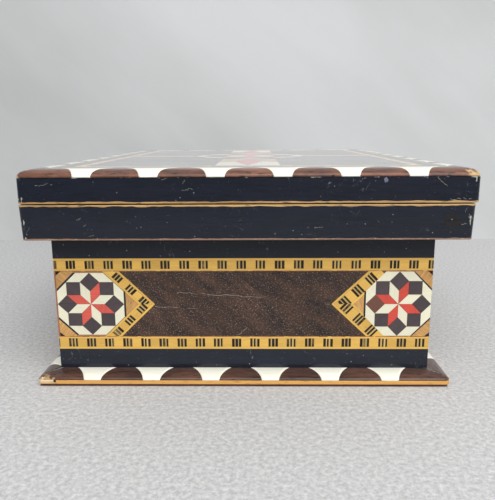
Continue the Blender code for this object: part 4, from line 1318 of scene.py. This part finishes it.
# %% Sweep the lid's four black sides
BAND_BACK = 0.06 * MM
LINE_HEIGHT = 0.62 * MM
BAND_CORNER = 1.3 * MM
lid_low = Vector((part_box("lid_facing_hinge_side")[0].x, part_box("lid_facing_front")[0].y,
                  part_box("lid_facing_front")[0].z))
lid_high = Vector((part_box("lid_facing_lock_side")[1].x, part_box("lid_facing_back")[1].y,
                   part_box("lid_marquetry")[0].z))
BAND_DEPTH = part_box("lid_facing_front")[1].y - lid_low.y + 0.25 * MM
hinge_gap = []
for tag in ("hinge_front", "hinge_rear"):
    leaf_low, leaf_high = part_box(f"{tag}_case_leaf")
    hinge_gap.append((leaf_low.y - 0.3 * MM, leaf_high.y + 0.3 * MM))
pin_low, pin_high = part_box("hinge_front_pin")
axis_x = (pin_low.x + pin_high.x) / 2
axis_z = (pin_low.z + pin_high.z) / 2
knuckle_room = axis_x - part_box("hinge_front_case_leaf")[0].x + 0.3 * MM


def black_profile(z0, z1, lean=0.0):
    """The veneer's section, from its lower outer arris round. It leans in towards the bottom."""
    arris = 0.22 * MM
    return [(BAND_BACK + lean + arris, z0, 0.75, 0), (BAND_BACK + lean, z0 + arris, 0.6, 0),
            (BAND_BACK + lean * 0.9, z0 + 0.8 * MM, 0, 0),
            (BAND_BACK + lean * 0.1, z1 - 0.8 * MM, 0, 0),
            (BAND_BACK, z1 - arris, 0.6, 0), (BAND_BACK + arris, z1, 0.75, 0),
            (BAND_DEPTH, z1, 0, 0), (BAND_DEPTH + lean, z0, 0, 0)]


def line_profile(z0, z1, lean0=0.0, lean1=0.0, ragged_top=1, ragged_bottom=0):
    """A thin line of wood at an arris, a hair proud of the veneer, with one uneven edge."""
    soft = 0.12 * MM
    return [(lean0 + 0.32 * MM, z0, 0, ragged_bottom), (lean0 + 0.03 * MM, z0 + soft, 0, ragged_bottom),
            (lean1 + 0.02 * MM, z1 - soft, 0, ragged_top), (lean1 + 0.12 * MM, z1, 0, ragged_top),
            (lean1 + 0.5 * MM, z1, 0, ragged_top), (lean0 + 0.5 * MM, z0, 0, ragged_bottom)]


def band_marks(name, origin, up, patches, scratches):
    """Knocks and scratches on the front of a band, in mm from its middle and its lower edge."""
    veneer = Veneer()
    for x, z, width, height, material in patches:
        outline = []
        for k in range(9):
            angle = k * math.tau / 9
            reach = dice.uniform(0.7, 1.1) / 2
            outline.append(Vector((x + math.cos(angle) * width * reach,
                                   z + math.sin(angle) * height * reach)) * MM)
        veneer.slip(outline, material, top=0.02 * MM, depth=0.05 * MM, gap=0)
    for start, end, sway in scratches:
        hairline_crack(veneer, Vector(start) * MM, Vector(end) * MM, sway * MM)
    return veneer.build(name, face_matrix(origin, (1, 0, 0), up))


dice.seed(52)
blue_knock = wood("blue_knock", (0.17, 0.19, 0.26), (0.09, 0.10, 0.15), gloss=0.1)
scuffed = wood("scuffed_black", (0.021, 0.018, 0.019), (0.010, 0.010, 0.013), fibres=900.0, gloss=0.4,
               scratches=0.5, dust=0.6, specular=0.14)
SIDES = ("front", "lock_side", "back", "hinge_side")
lid_sides = outline_points(lid_low.x, lid_high.x, lid_low.y, lid_high.y, BAND_CORNER)
for number, (side, path) in enumerate(zip(SIDES, lid_sides)):
    black = sweep(f"lid_{side}_black", path, black_profile(lid_low.z + 0.1 * MM, lid_high.z - 0.02 * MM),
                  ebonised, seed=number)
    gold = sweep(f"lid_{side}_line", path, line_profile(lid_low.z, lid_low.z + LINE_HEIGHT),
                 gold_line, wobble=0.16 * MM, seed=number + 5)
    marks = []
    if side == "front":
        marks.append(band_marks("lid_marks", ((lid_low.x + lid_high.x) / 2, lid_low.y + BAND_BACK,
                                              lid_low.z), (0, 0, 1),
                                [(35.8, 6.0, 1.1, 1.5, blue_knock)],
                                [((49.0, 6.6), (51.6, 4.3), 0.15), ((-17.2, 3.4), (-14.0, 4.0), 0.3),
                                 ((-16.6, 5.2), (-15.9, 6.2), 0.1), ((-22.0, 6.2), (-20.6, 6.7), 0.1),
                                 ((52.5, 0.9), (58.6, 1.3), 0.25), ((-55.0, 4.8), (-50.5, 5.4), 0.3)]))
    band = fuse(f"lid_band_{side}", [black, gold] + marks)
    if side == "hinge_side":
        for y0, y1 in hinge_gap:
            carve(band, (axis_x, y0, lid_low.z - 0.5 * MM), (axis_x + 4 * MM, y1, lid_low.z + 1.1 * MM),
                  knuckle_room, axis_x, axis_z)
    hand_over(band, "lid", "ebonised", f"lid_facing_{side}")

# %% Sweep the collar: two fixed sides, and two that slide
collar_low = Vector((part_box("collar_hinge_side_facing")[0].x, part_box("end_moulding_facing")[0].y,
                     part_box("end_moulding_facing")[0].z))
collar_high = Vector((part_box("side_moulding_facing")[1].x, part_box("collar_back_facing")[1].y,
                      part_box("end_moulding_facing")[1].z))
COLLAR_LEAN = 0.4 * MM
FAR = 1.0
end_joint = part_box("side_moulding_facing")[0].y - 0.15 * MM
back_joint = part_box("side_moulding_cap")[0].x - 0.15 * MM
collar_sides = dict(zip(SIDES, outline_points(collar_low.x, collar_high.x, collar_low.y,
                                              collar_high.y, BAND_CORNER)))


def collar_band(name, path, body, node, seed, wear=(1.0, 1.0)):
    z0, z1 = collar_low.z, collar_high.z
    black = sweep(f"{name}_black", path, black_profile(z0 + 0.08 * MM, z1 - 0.08 * MM, COLLAR_LEAN),
                  ebonised, seed=seed, corner_wear=wear)
    gold = sweep(f"{name}_line", path, line_profile(z1 - 0.55 * MM, z1, 0.03 * MM, 0.0, 0, 1),
                 gold_line, wobble=0.22 * MM, seed=seed + 3)
    brown = sweep(f"{name}_foot", path, line_profile(z0, z0 + 0.55 * MM, COLLAR_LEAN,
                                                     COLLAR_LEAN * 0.94), brown_line,
                  wobble=0.14 * MM, seed=seed + 4)
    marks = []
    if name == "end_band":
        lean = Vector((0, -COLLAR_LEAN, z1 - z0)).normalized()
        marks.append(band_marks("collar_marks", ((collar_low.x + collar_high.x) / 2,
                                                 collar_low.y + BAND_BACK + COLLAR_LEAN, z0), lean,
                                [(54.0, 5.2, 5.5, 4.5, scuffed)],
                                [((53.6, 3.6), (57.6, 4.4), 0.3), ((54.2, 4.1), (56.0, 4.5), 0.2),
                                 ((57.0, 8.4), (58.2, 5.4), 0.5), ((-44.5, 5.5), (-43.4, 6.1), 0.2),
                                 ((-41.6, 1.1), (-40.2, 1.5), 0.1), ((-42.8, 3.9), (-42.0, 4.3), 0.1),
                                 ((18.0, 3.3), (20.2, 3.5), 0.1)]))
    band = fuse(name, [black, gold, brown] + marks)
    if node == "collar_hinge_side_facing":
        for y0, y1 in hinge_gap:
            carve(band, (axis_x, y0, z1 - 1.1 * MM), (axis_x + 4 * MM, y1, z1 + 0.5 * MM),
                  knuckle_room, axis_x, axis_z)
    hand_over(band, body, "ebonised", node)


collar_band("end_band", collar_sides["front"], "end_slide", "end_moulding_facing", 21)
collar_band("end_band_return", stretch_between(collar_sides["lock_side"], 1, -FAR, end_joint - 0.05 * MM),
            "end_slide", "end_moulding_cap", 22, (1.0, 0.0))
collar_band("side_band", stretch_between(collar_sides["lock_side"], 1, end_joint + 0.05 * MM, FAR),
            "side_slide", "side_moulding_facing", 23, (0.0, 1.0))
collar_band("side_band_return", stretch_between(collar_sides["back"], 0, back_joint + 0.05 * MM, FAR),
            "side_slide", "side_moulding_cap", 24, (1.0, 0.0))
collar_band("back_band", stretch_between(collar_sides["back"], 0, -FAR, back_joint - 0.05 * MM),
            "case", "collar_back_facing", 25, (0.0, 1.0))
collar_band("hinge_side_band", collar_sides["hinge_side"], "case", "collar_hinge_side_facing", 26)

# %% [markdown]
# ## Rolled borders of bone and rosewood
# Around the lid, and around the foot of the case, bone scallops stand between rosewood domes and are bent
# over a rolled edge. The four rows of each border meet in mitres. The veneer is a curved surface at
# first; Solidify then gives it its thickness, after the corners are rounded to follow the bands.

# %% Bend four scallop rows round an outline
PROUD_ROOM = 0.04 * MM


def round_corners(mesh, x0, x1, y0, y1, radius):
    """Push the corner of a square outline in to a round one, and what lies near it with it."""
    for vertex in mesh.vertices:
        right = vertex.co.x > (x0 + x1) / 2
        back = vertex.co.y > (y0 + y1) / 2
        cx = x1 - radius if right else x0 + radius
        cy = y1 - radius if back else y0 + radius
        dx = (vertex.co.x - cx) * (1 if right else -1)
        dy = (vertex.co.y - cy) * (1 if back else -1)
        if dx > 0 and dy > 0:
            squeeze = max(dx, dy) / math.hypot(dx, dy)
            vertex.co.x = cx + (vertex.co.x - cx) * squeeze
            vertex.co.y = cy + (vertex.co.y - cy) * squeeze


def rolled_border(name, x0, x1, y0, y1, foot, radius, counts, pitches, seed, shifts, dome, **sizes):
    x0, x1, y0, y1 = x0 + PROUD_ROOM, x1 - PROUD_ROOM, y0 + PROUD_ROOM, y1 - PROUD_ROOM
    middle = Vector(((x0 + x1) / 2, (y0 + y1) / 2))
    starts = ((middle.x, y0), (x1, middle.y), (middle.x, y1), (x0, middle.y))
    rows = []
    for i, start in enumerate(starts):
        length = x1 - x0 if i % 2 == 0 else y1 - y0
        row = run_tree(f"{name}_row", scallop_tree, Length=length, Scallops=counts[i % 2],
                       Pitch=pitches[i % 2], Dome_wood=dome, Scallop_bone=bone_with_painted_light, Seed=seed + i,
                       Shift=shifts[i], **sizes)
        row.data.transform(Matrix.Translation((*start, foot)) @ Matrix.Rotation(i * math.pi / 2, 4, "Z"))
        rows.append(row)
    border = fuse(name, rows)
    edge = border.data.attributes.new("edge", "FLOAT", "POINT")
    for vertex in border.data.vertices:
        away = math.hypot((x1 - x0) / 2 - abs(vertex.co.x - middle.x),
                          (y1 - y0) / 2 - abs(vertex.co.y - middle.y))
        near_foot = max(0.0, 1 - (vertex.co.z - foot) / (1.2 * MM))
        edge.data[vertex.index].value = 0.25 * near_foot + max(0.0, 1 - away / (12 * MM)) * 0.85
    round_corners(border.data, x0, x1, y0, y1, radius)
    border.data.shade_smooth()
    wall = border.modifiers.new("veneer", "SOLIDIFY")
    wall.thickness = 0.4 * MM
    wall.offset = -1.0
    flatten(border, wall)
    return border


# A paler copy of bone for the scallops: painted light, because they face up to the lamps and catch the most
# light.
bone_with_painted_light = wood("scallop_bone", (0.95, 0.94, 0.84), (0.88, 0.86, 0.70), pore=(0.70, 0.60, 0.36),
               fibres=900.0, stretch=14.0, pores=0.25, spread=0.06, gloss=0.5, dust=0.0, scratches=0.0,
               bump=0.02)
CROWN_FOOT = lid_high.z + 0.01 * MM
CROWN_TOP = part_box("lid_marquetry")[1].z - 0.04 * MM
CROWN_ROLL = 4.0 * MM
CROWN_FLAT = 2.0 * MM
crown = rolled_border("lid_border", lid_low.x, lid_high.x, lid_low.y, lid_high.y, CROWN_FOOT,
                      BAND_CORNER, (6, 8), (17.4 * MM, 17.86 * MM), 5, (0.65 * MM, 0.0, 0.0, 0.0),
                      rosewood, Foot=4.75 * MM,
                      Reach=7.8 * MM, Roll=CROWN_ROLL, Rise=CROWN_TOP - CROWN_FOOT, Flat=CROWN_FLAT)
print("lid border faces:", len(crown.data.polygons))

# %% [markdown]
# ## The lid's panel
# Inside the scallops the lid is flat: lines and bands laid like picture frames, one in another, then a
# walnut ground with a large star at its middle. Long red and bone rhombi point from the star to the two
# ends, and pale arms cross to the sides.

# %% Lay the frames
lid_middle = Vector(((lid_low.x + lid_high.x) / 2, (lid_low.y + lid_high.y) / 2))
lid_half = Vector(((lid_high.x - lid_low.x) / 2, (lid_high.y - lid_low.y) / 2))


def frame_strip(veneer, outer, inner, material, **options):
    """Four mitred strips between two distances from the lid's outline."""
    a, b = lid_half - Vector((outer, outer)), lid_half - Vector((inner, inner))
    for k in range(4):
        c, d = (a, b) if k % 2 == 0 else (Vector((a.y, a.x)), Vector((b.y, b.x)))
        turn = Matrix.Rotation(k * math.pi / 2, 2)
        strip = [Vector((-c.x, -c.y)), Vector((c.x, -c.y)), Vector((d.x, -d.y)), Vector((-d.x, -d.y))]
        veneer.slip([turn @ point for point in strip], material, angle=k * math.pi / 2, **options)


def dash_rows(outer, inner):
    """Bone dashes in a pinkish strip, along all four sides."""
    rows = []
    width = inner - outer
    for k in range(4):
        half, depth = (lid_half.x, lid_half.y) if k % 2 == 0 else (lid_half.y, lid_half.x)
        length = 2 * (half - outer)
        row = run_tree("dash_row", banding_tree, Length=length, Height=width, Margin=0.5 * MM,
                       Pitch=11.3 * MM, First=(length % (11.3 * MM)) / 2, Bars=1, Bar_width=2.3 * MM,
                       Groups=int(length / (11.3 * MM)) + 1, Seed=60 + k, Strip_wood=pinkwood,
                       Line_wood=boxwood, Bar_wood=bone, Spacer_wood=pinkwood)
        row.data.transform(Matrix.Translation((-half + outer, -depth + outer, 0)))
        cut_mesh(row, (-half + outer, -depth + outer), (-1, -1))
        cut_mesh(row, (half - outer, -depth + outer), (-1, 1))
        row.data.transform(Matrix.Rotation(k * math.pi / 2, 4, "Z"))
        rows.append(row)
    return rows


# %% Lay the star, its rhombi and the ground
def lid_ground(veneer, inset):
    """Walnut in each quarter, split on a slant."""
    x, y = lid_half.x - inset, lid_half.y - inset
    for sx in (-1, 1):
        for sy in (-1, 1):
            quarter = rectangle(*sorted_box(0, 0, sx * x, sy * y))
            start, way = Vector((sx * x * 0.2, sy * y * 0.35)), Vector((sx * 0.75, sy * 0.66))
            for sign in (-1, 1):
                veneer.slip(keep_side(quarter, start, way * sign), walnut, gap=0.01 * MM,
                            angle=sx * sy * dice.uniform(0.5, 1.0))


def pointer(veneer, direction, near, far, half):
    """A long red rhombus on the lid's axis, with bone and orangewood flanks."""
    tip, tail, flank = Vector((0, far)), Vector((0, near)), (near + far) / 2
    red = [tail, Vector((half, flank)), tip, Vector((-half, flank))]
    outer = half * 2.1
    for sign in (-1, 1):
        wing = [tip, Vector((sign * outer, far)), Vector((sign * outer, flank + half)),
                Vector((sign * half, flank))]
        lower = [Vector((sign * half, flank)), Vector((sign * outer, flank + half)),
                 Vector((sign * outer, near + half)), tail]
        for shape, material in ((wing, bone), (lower, orangewood)):
            shape = [point * direction for point in shape]
            area = sum(a.cross(b) for a, b in zip(shape, shape[1:] + shape[:1]))
            veneer.slip(shape if area > 0 else shape[::-1], material, top=0.012 * MM,
                        angle=math.pi / 2)
    veneer.slip([point * direction for point in red], redwood, top=0.016 * MM, angle=math.pi / 2)


def octagon_frame(veneer, apothem, width, material, top):
    corner = apothem / math.cos(math.pi / 8)
    outer = corner + width
    for k in range(8):
        a, b = (k - 0.5) * math.pi / 4 + LID_STAR_TURN, (k + 0.5) * math.pi / 4 + LID_STAR_TURN
        veneer.slip([towards(a) * corner, towards(a) * outer, towards(b) * outer, towards(b) * corner],
                    material, top=top)


def waxed(material):
    """A copy for the lid's flat top, where old wax and dust scatter the light seen at a glance."""
    made = material.copy()
    made.name = material.name.replace("_finish", "_waxed_finish")
    fill(made.node_tree, made.node_tree.nodes["Principled BSDF"],
         {"Sheen Weight": 0.52, "Sheen Roughness": 0.45, "Coat Weight": 0.6, "Coat Roughness": 0.12})
    return made


LID_STAR_TURN = math.pi / 8
LID_STAR_SIDE = 8.4 * MM
pinkwood = wood("pinkwood", (0.62, 0.36, 0.24), (0.45, 0.24, 0.15), fibres=1500.0, spread=0.3, gloss=0.35)
dice.seed(77)
panel = Veneer()
panel.slip(rectangle(-lid_half.x + 4.3 * MM, -lid_half.y + 4.3 * MM, lid_half.x - 4.3 * MM,
                     lid_half.y - 4.3 * MM), glue, top=-0.2 * MM,
           depth=CROWN_TOP - lid_high.z - 0.25 * MM, gap=0)
SCALLOP_EDGE = CROWN_ROLL + CROWN_FLAT
FRAMES = ((0.0, 0.7, ebonised_line), (0.7, 1.3, boxwood), (1.3, 5.6, ebonised), (5.6, 6.0, boxwood),
          (8.4, 9.0, ebonised_line))
for outer, inner, material in FRAMES:
    frame_strip(panel, SCALLOP_EDGE + outer * MM, SCALLOP_EDGE + inner * MM, material)
GROUND_EDGE = SCALLOP_EDGE + 9.0 * MM
lid_ground(panel, GROUND_EDGE)
lid_apothem = LID_STAR_SIDE * (1 + math.sqrt(2))
arm_end = lid_half.x - GROUND_EDGE
for sign in (-1, 1):
    for low, high, material in ((-5.2, -4.7, ebonised_line), (-4.7, 4.7, pinkwood),
                                (4.7, 5.2, ebonised_line)):
        arm = rectangle(*sorted_box(sign * lid_apothem, low * MM, sign * arm_end, high * MM))
        panel.slip(arm, material, top=0.008 * MM)
    pointer(panel, sign, lid_apothem + 0.5 * MM, lid_half.y - GROUND_EDGE, 4.4 * MM)
octagon_frame(panel, lid_apothem, 0.8 * MM, ebonised_line, 0.02 * MM)
lid_star = run_tree("lid_star", star_tree, Side=LID_STAR_SIDE, Turn=LID_STAR_TURN, First_wood=redwood,
                    Second_wood=bone, Square_wood=darkwood, Odd_wood=darkwood, Outer_wood=bone, Seed=9)
lid_star.data.transform(Matrix.Translation((0, 0, 0.024 * MM)))
slips = panel.build("lid_slips")
flat_lid = fuse("lid_panel", [slips, lid_star] + dash_rows(SCALLOP_EDGE + 6.0 * MM, SCALLOP_EDGE + 8.4 * MM))
flat_lid.data.transform(Matrix.Translation((*lid_middle, CROWN_TOP)))
for number, material in enumerate(flat_lid.data.materials):
    if material is not glue:
        flat_lid.data.materials[number] = waxed(material)
hand_over(fuse("lid_crown", [crown, flat_lid]), "lid", "rosewood", "lid_marquetry")

# %% [markdown]
# ## The foot of the case
# The base board shows its yellow edge under the same rolled border. One corner has been knocked: the
# veneer is gone and raw wood shows, with a dark crack behind it.

# %% Build the base
BASE_LINE_TOP = plate_low.z + 1.33 * MM
raw_wood = wood("raw_wood", (0.85, 0.68, 0.44), (0.48, 0.31, 0.14), fibres=1500.0, pores=0.6, spread=0.3,
                gloss=0.0, bump=0.3)
edge_wood = wood("edge_boxwood", (0.78, 0.42, 0.10), (0.60, 0.29, 0.06), pore=(0.25, 0.09, 0.03),
                 fibres=1500.0, stretch=16.0, pores=0.45, spread=0.2, gloss=0.4, worn=(0.85, 0.68, 0.42),
                 wear=0.5)
base_sides = outline_points(plate_low.x, plate_high.x, plate_low.y, plate_high.y, BAND_CORNER)


def edge_profile(z0, z1, out=0.0):
    soft = 0.3 * MM
    return [(soft + 0.02 * MM - out, z0, 0.5, 0), (0.02 * MM - out, z0 + soft, 0.3, 0),
            (0.02 * MM - out, z1 - 0.1 * MM, 0.3, 0), (0.14 * MM - out, z1, 0.5, 0), (3.0 * MM, z1, 0, 0),
            (3.0 * MM, z0, 0, 0)]


edges = [sweep(f"base_edge_{side}", path, edge_profile(plate_low.z, BASE_LINE_TOP), edge_wood,
               seed=31 + number) for number, (side, path) in enumerate(zip(SIDES, base_sides))]


def chip_profile(low, high):
    """Torn wood: up the board's edge, then back over the start of the rolled border."""
    return [(0.3 * MM, low, 0.5, 0), (0.0, low + 0.3 * MM, 0, 0), (0.0, high, 0, 0),
            (0.32 * MM, high + 0.42 * MM, 0, 1), (0.75 * MM, high + 0.62 * MM, 0, 1),
            (1.2 * MM, high + 0.55 * MM, 0, 1), (2.0 * MM, low + 0.5 * MM, 0, 0)]


knocked = stretch_between(base_sides[0], 0, -FAR, plate_low.x + 4.9 * MM)
chip = sweep("base_chip", knocked, chip_profile(plate_low.z + 0.15 * MM, BASE_LINE_TOP), raw_wood,
             wobble=0.35 * MM, seed=3)
torn = stretch_between(base_sides[0], 0, plate_low.x + 4.6 * MM, plate_low.x + 5.3 * MM)
crack = sweep("base_crack", torn, chip_profile(plate_low.z + 0.4 * MM, BASE_LINE_TOP + 0.05 * MM),
              ebonised_line, wobble=0.3 * MM, seed=8)
board = Veneer()
board.slip(rectangle(plate_low.x + 2.9 * MM, plate_low.y + 2.9 * MM, plate_high.x - 2.9 * MM,
                     plate_high.y - 2.9 * MM), glue, top=BASE_LINE_TOP, depth=BASE_LINE_TOP - plate_low.z,
           gap=0)
board.slip(rectangle(plate_low.x + 5.0 * MM, plate_low.y + 5.0 * MM, plate_high.x - 5.0 * MM,
                     plate_high.y - 5.0 * MM), glue, top=plate_high.z - 0.12 * MM,
           depth=plate_high.z - BASE_LINE_TOP, gap=0)
board_piece = board.build("base_board")
foot_border = rolled_border("foot_border", plate_low.x, plate_high.x, plate_low.y, plate_high.y,
                            BASE_LINE_TOP + 0.01 * MM, BAND_CORNER, (6, 8), (16.85 * MM, 17.5 * MM), 15,
                            (-0.6 * MM, 0.0, 0.0, 4.8 * MM), dark_rosewood,
                            Foot=4.8 * MM, Reach=8.1 * MM, Roll=5.2 * MM,
                            Rise=plate_high.z - BASE_LINE_TOP - 0.05 * MM, Flat=0.6 * MM)
hand_over(fuse("base_with_border", [board_piece, foot_border, chip, crack] + edges), "case", "rosewood",
          "base_plate")

# %% [markdown]
# ## Cloth
# Felt is glued under the base, and a velvet lining lies on the floor inside. Both are thin sheets with a
# nap: the surface is a fine grid, pushed up and down by a hair, with a soft frayed edge.

# %% Make cloth
def cloth_material(name, color, deep):
    """A nap with a fine fuzz, crushed in broad patches."""
    made, tree, shader = new_finish(f"{name}_finish")
    nap = noise(tree, object_place(tree), 3200.0, 3.0, 0.7)
    crush = noise(tree, object_place(tree), 70.0, 2.0)
    mixed = plus(tree, times(tree, nap, 0.6), times(tree, crush, 0.4))
    shade = blend_color(tree, stretch_range(tree, mixed, 0.35, 0.65), (*deep, 1), (*color, 1))
    fill(tree, shader, {"Base Color": shade, "Normal": relief(tree, nap, 0.6, 0.0001),
                        "Roughness": 0.95, "Sheen Weight": 0.6, "Sheen Roughness": 0.4})
    return made


def cloth_sheet(name, low, high, lift, material, seed):
    """A thin closed sheet between two corners, its upper side gently uneven."""
    columns = int((high.x - low.x) / (1.5 * MM))
    rows = int((high.y - low.y) / (1.5 * MM))
    bm = bmesh.new()
    bmesh.ops.create_grid(bm, x_segments=columns, y_segments=rows, size=0.5)
    chance = random.Random(seed)
    thickness = high.z - low.z - lift
    for vertex in bm.verts:
        rim = max(abs(vertex.co.x), abs(vertex.co.y)) > 0.499
        fray = chance.uniform(0, 0.12) * MM if rim else 0.0
        vertex.co.x = (low.x + high.x) / 2 + vertex.co.x * (high.x - low.x - 2 * fray)
        vertex.co.y = (low.y + high.y) / 2 + vertex.co.y * (high.y - low.y - 2 * fray)
        wave = math.sin(vertex.co.x * 190 + seed) * math.sin(vertex.co.y * 130)
        vertex.co.z = low.z + thickness + lift * (0.6 + 0.3 * wave + 0.1 * chance.uniform(-1, 1))
    made = object_from(bm, name, material)
    made.data.shade_smooth()
    wall = made.modifiers.new("thickness", "SOLIDIFY")
    wall.thickness = thickness * 0.98
    wall.offset = -1.0
    flatten(made, wall)
    return made


felt = cloth_material("felt", (0.13, 0.035, 0.025), (0.05, 0.014, 0.012))
velvet = cloth_material("velvet", (0.36, 0.02, 0.035), (0.16, 0.006, 0.012))
for name, slot, node, finish, lift in (("felt_foot", "felt", "base_felt", felt, 0.04 * MM),
                                       ("velvet_floor", "velvet", "floor_lining", velvet, 0.12 * MM)):
    low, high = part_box(node)
    piece = cloth_sheet(name, low, high, lift, finish, 3)
    hand_over(piece, "case", slot, node)

# %% [markdown]
# ## Boards, runners and metalwork
# The walls, cores, runners, hinges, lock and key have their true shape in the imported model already. They
# only need real materials: cedar with its grain along the board, pale runners, brass and steel.

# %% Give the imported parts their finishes
FINISHES = (("runner", runner_wood), ("wall_", cedar), ("moulding", cedar), ("collar_", cedar),
            ("lid_board", cedar), ("_pin", steel), ("lock_case", steel), ("key_post", steel),
            ("bolt_spring", steel))
for name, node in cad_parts.items():
    if node.hide_render:
        continue
    finish = next((finish for word, finish in FINISHES if word in name), brass)
    node.data.materials.clear()
    node.data.materials.append(finish)
print("nodes kept:", sum(not node.hide_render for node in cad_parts.values()))
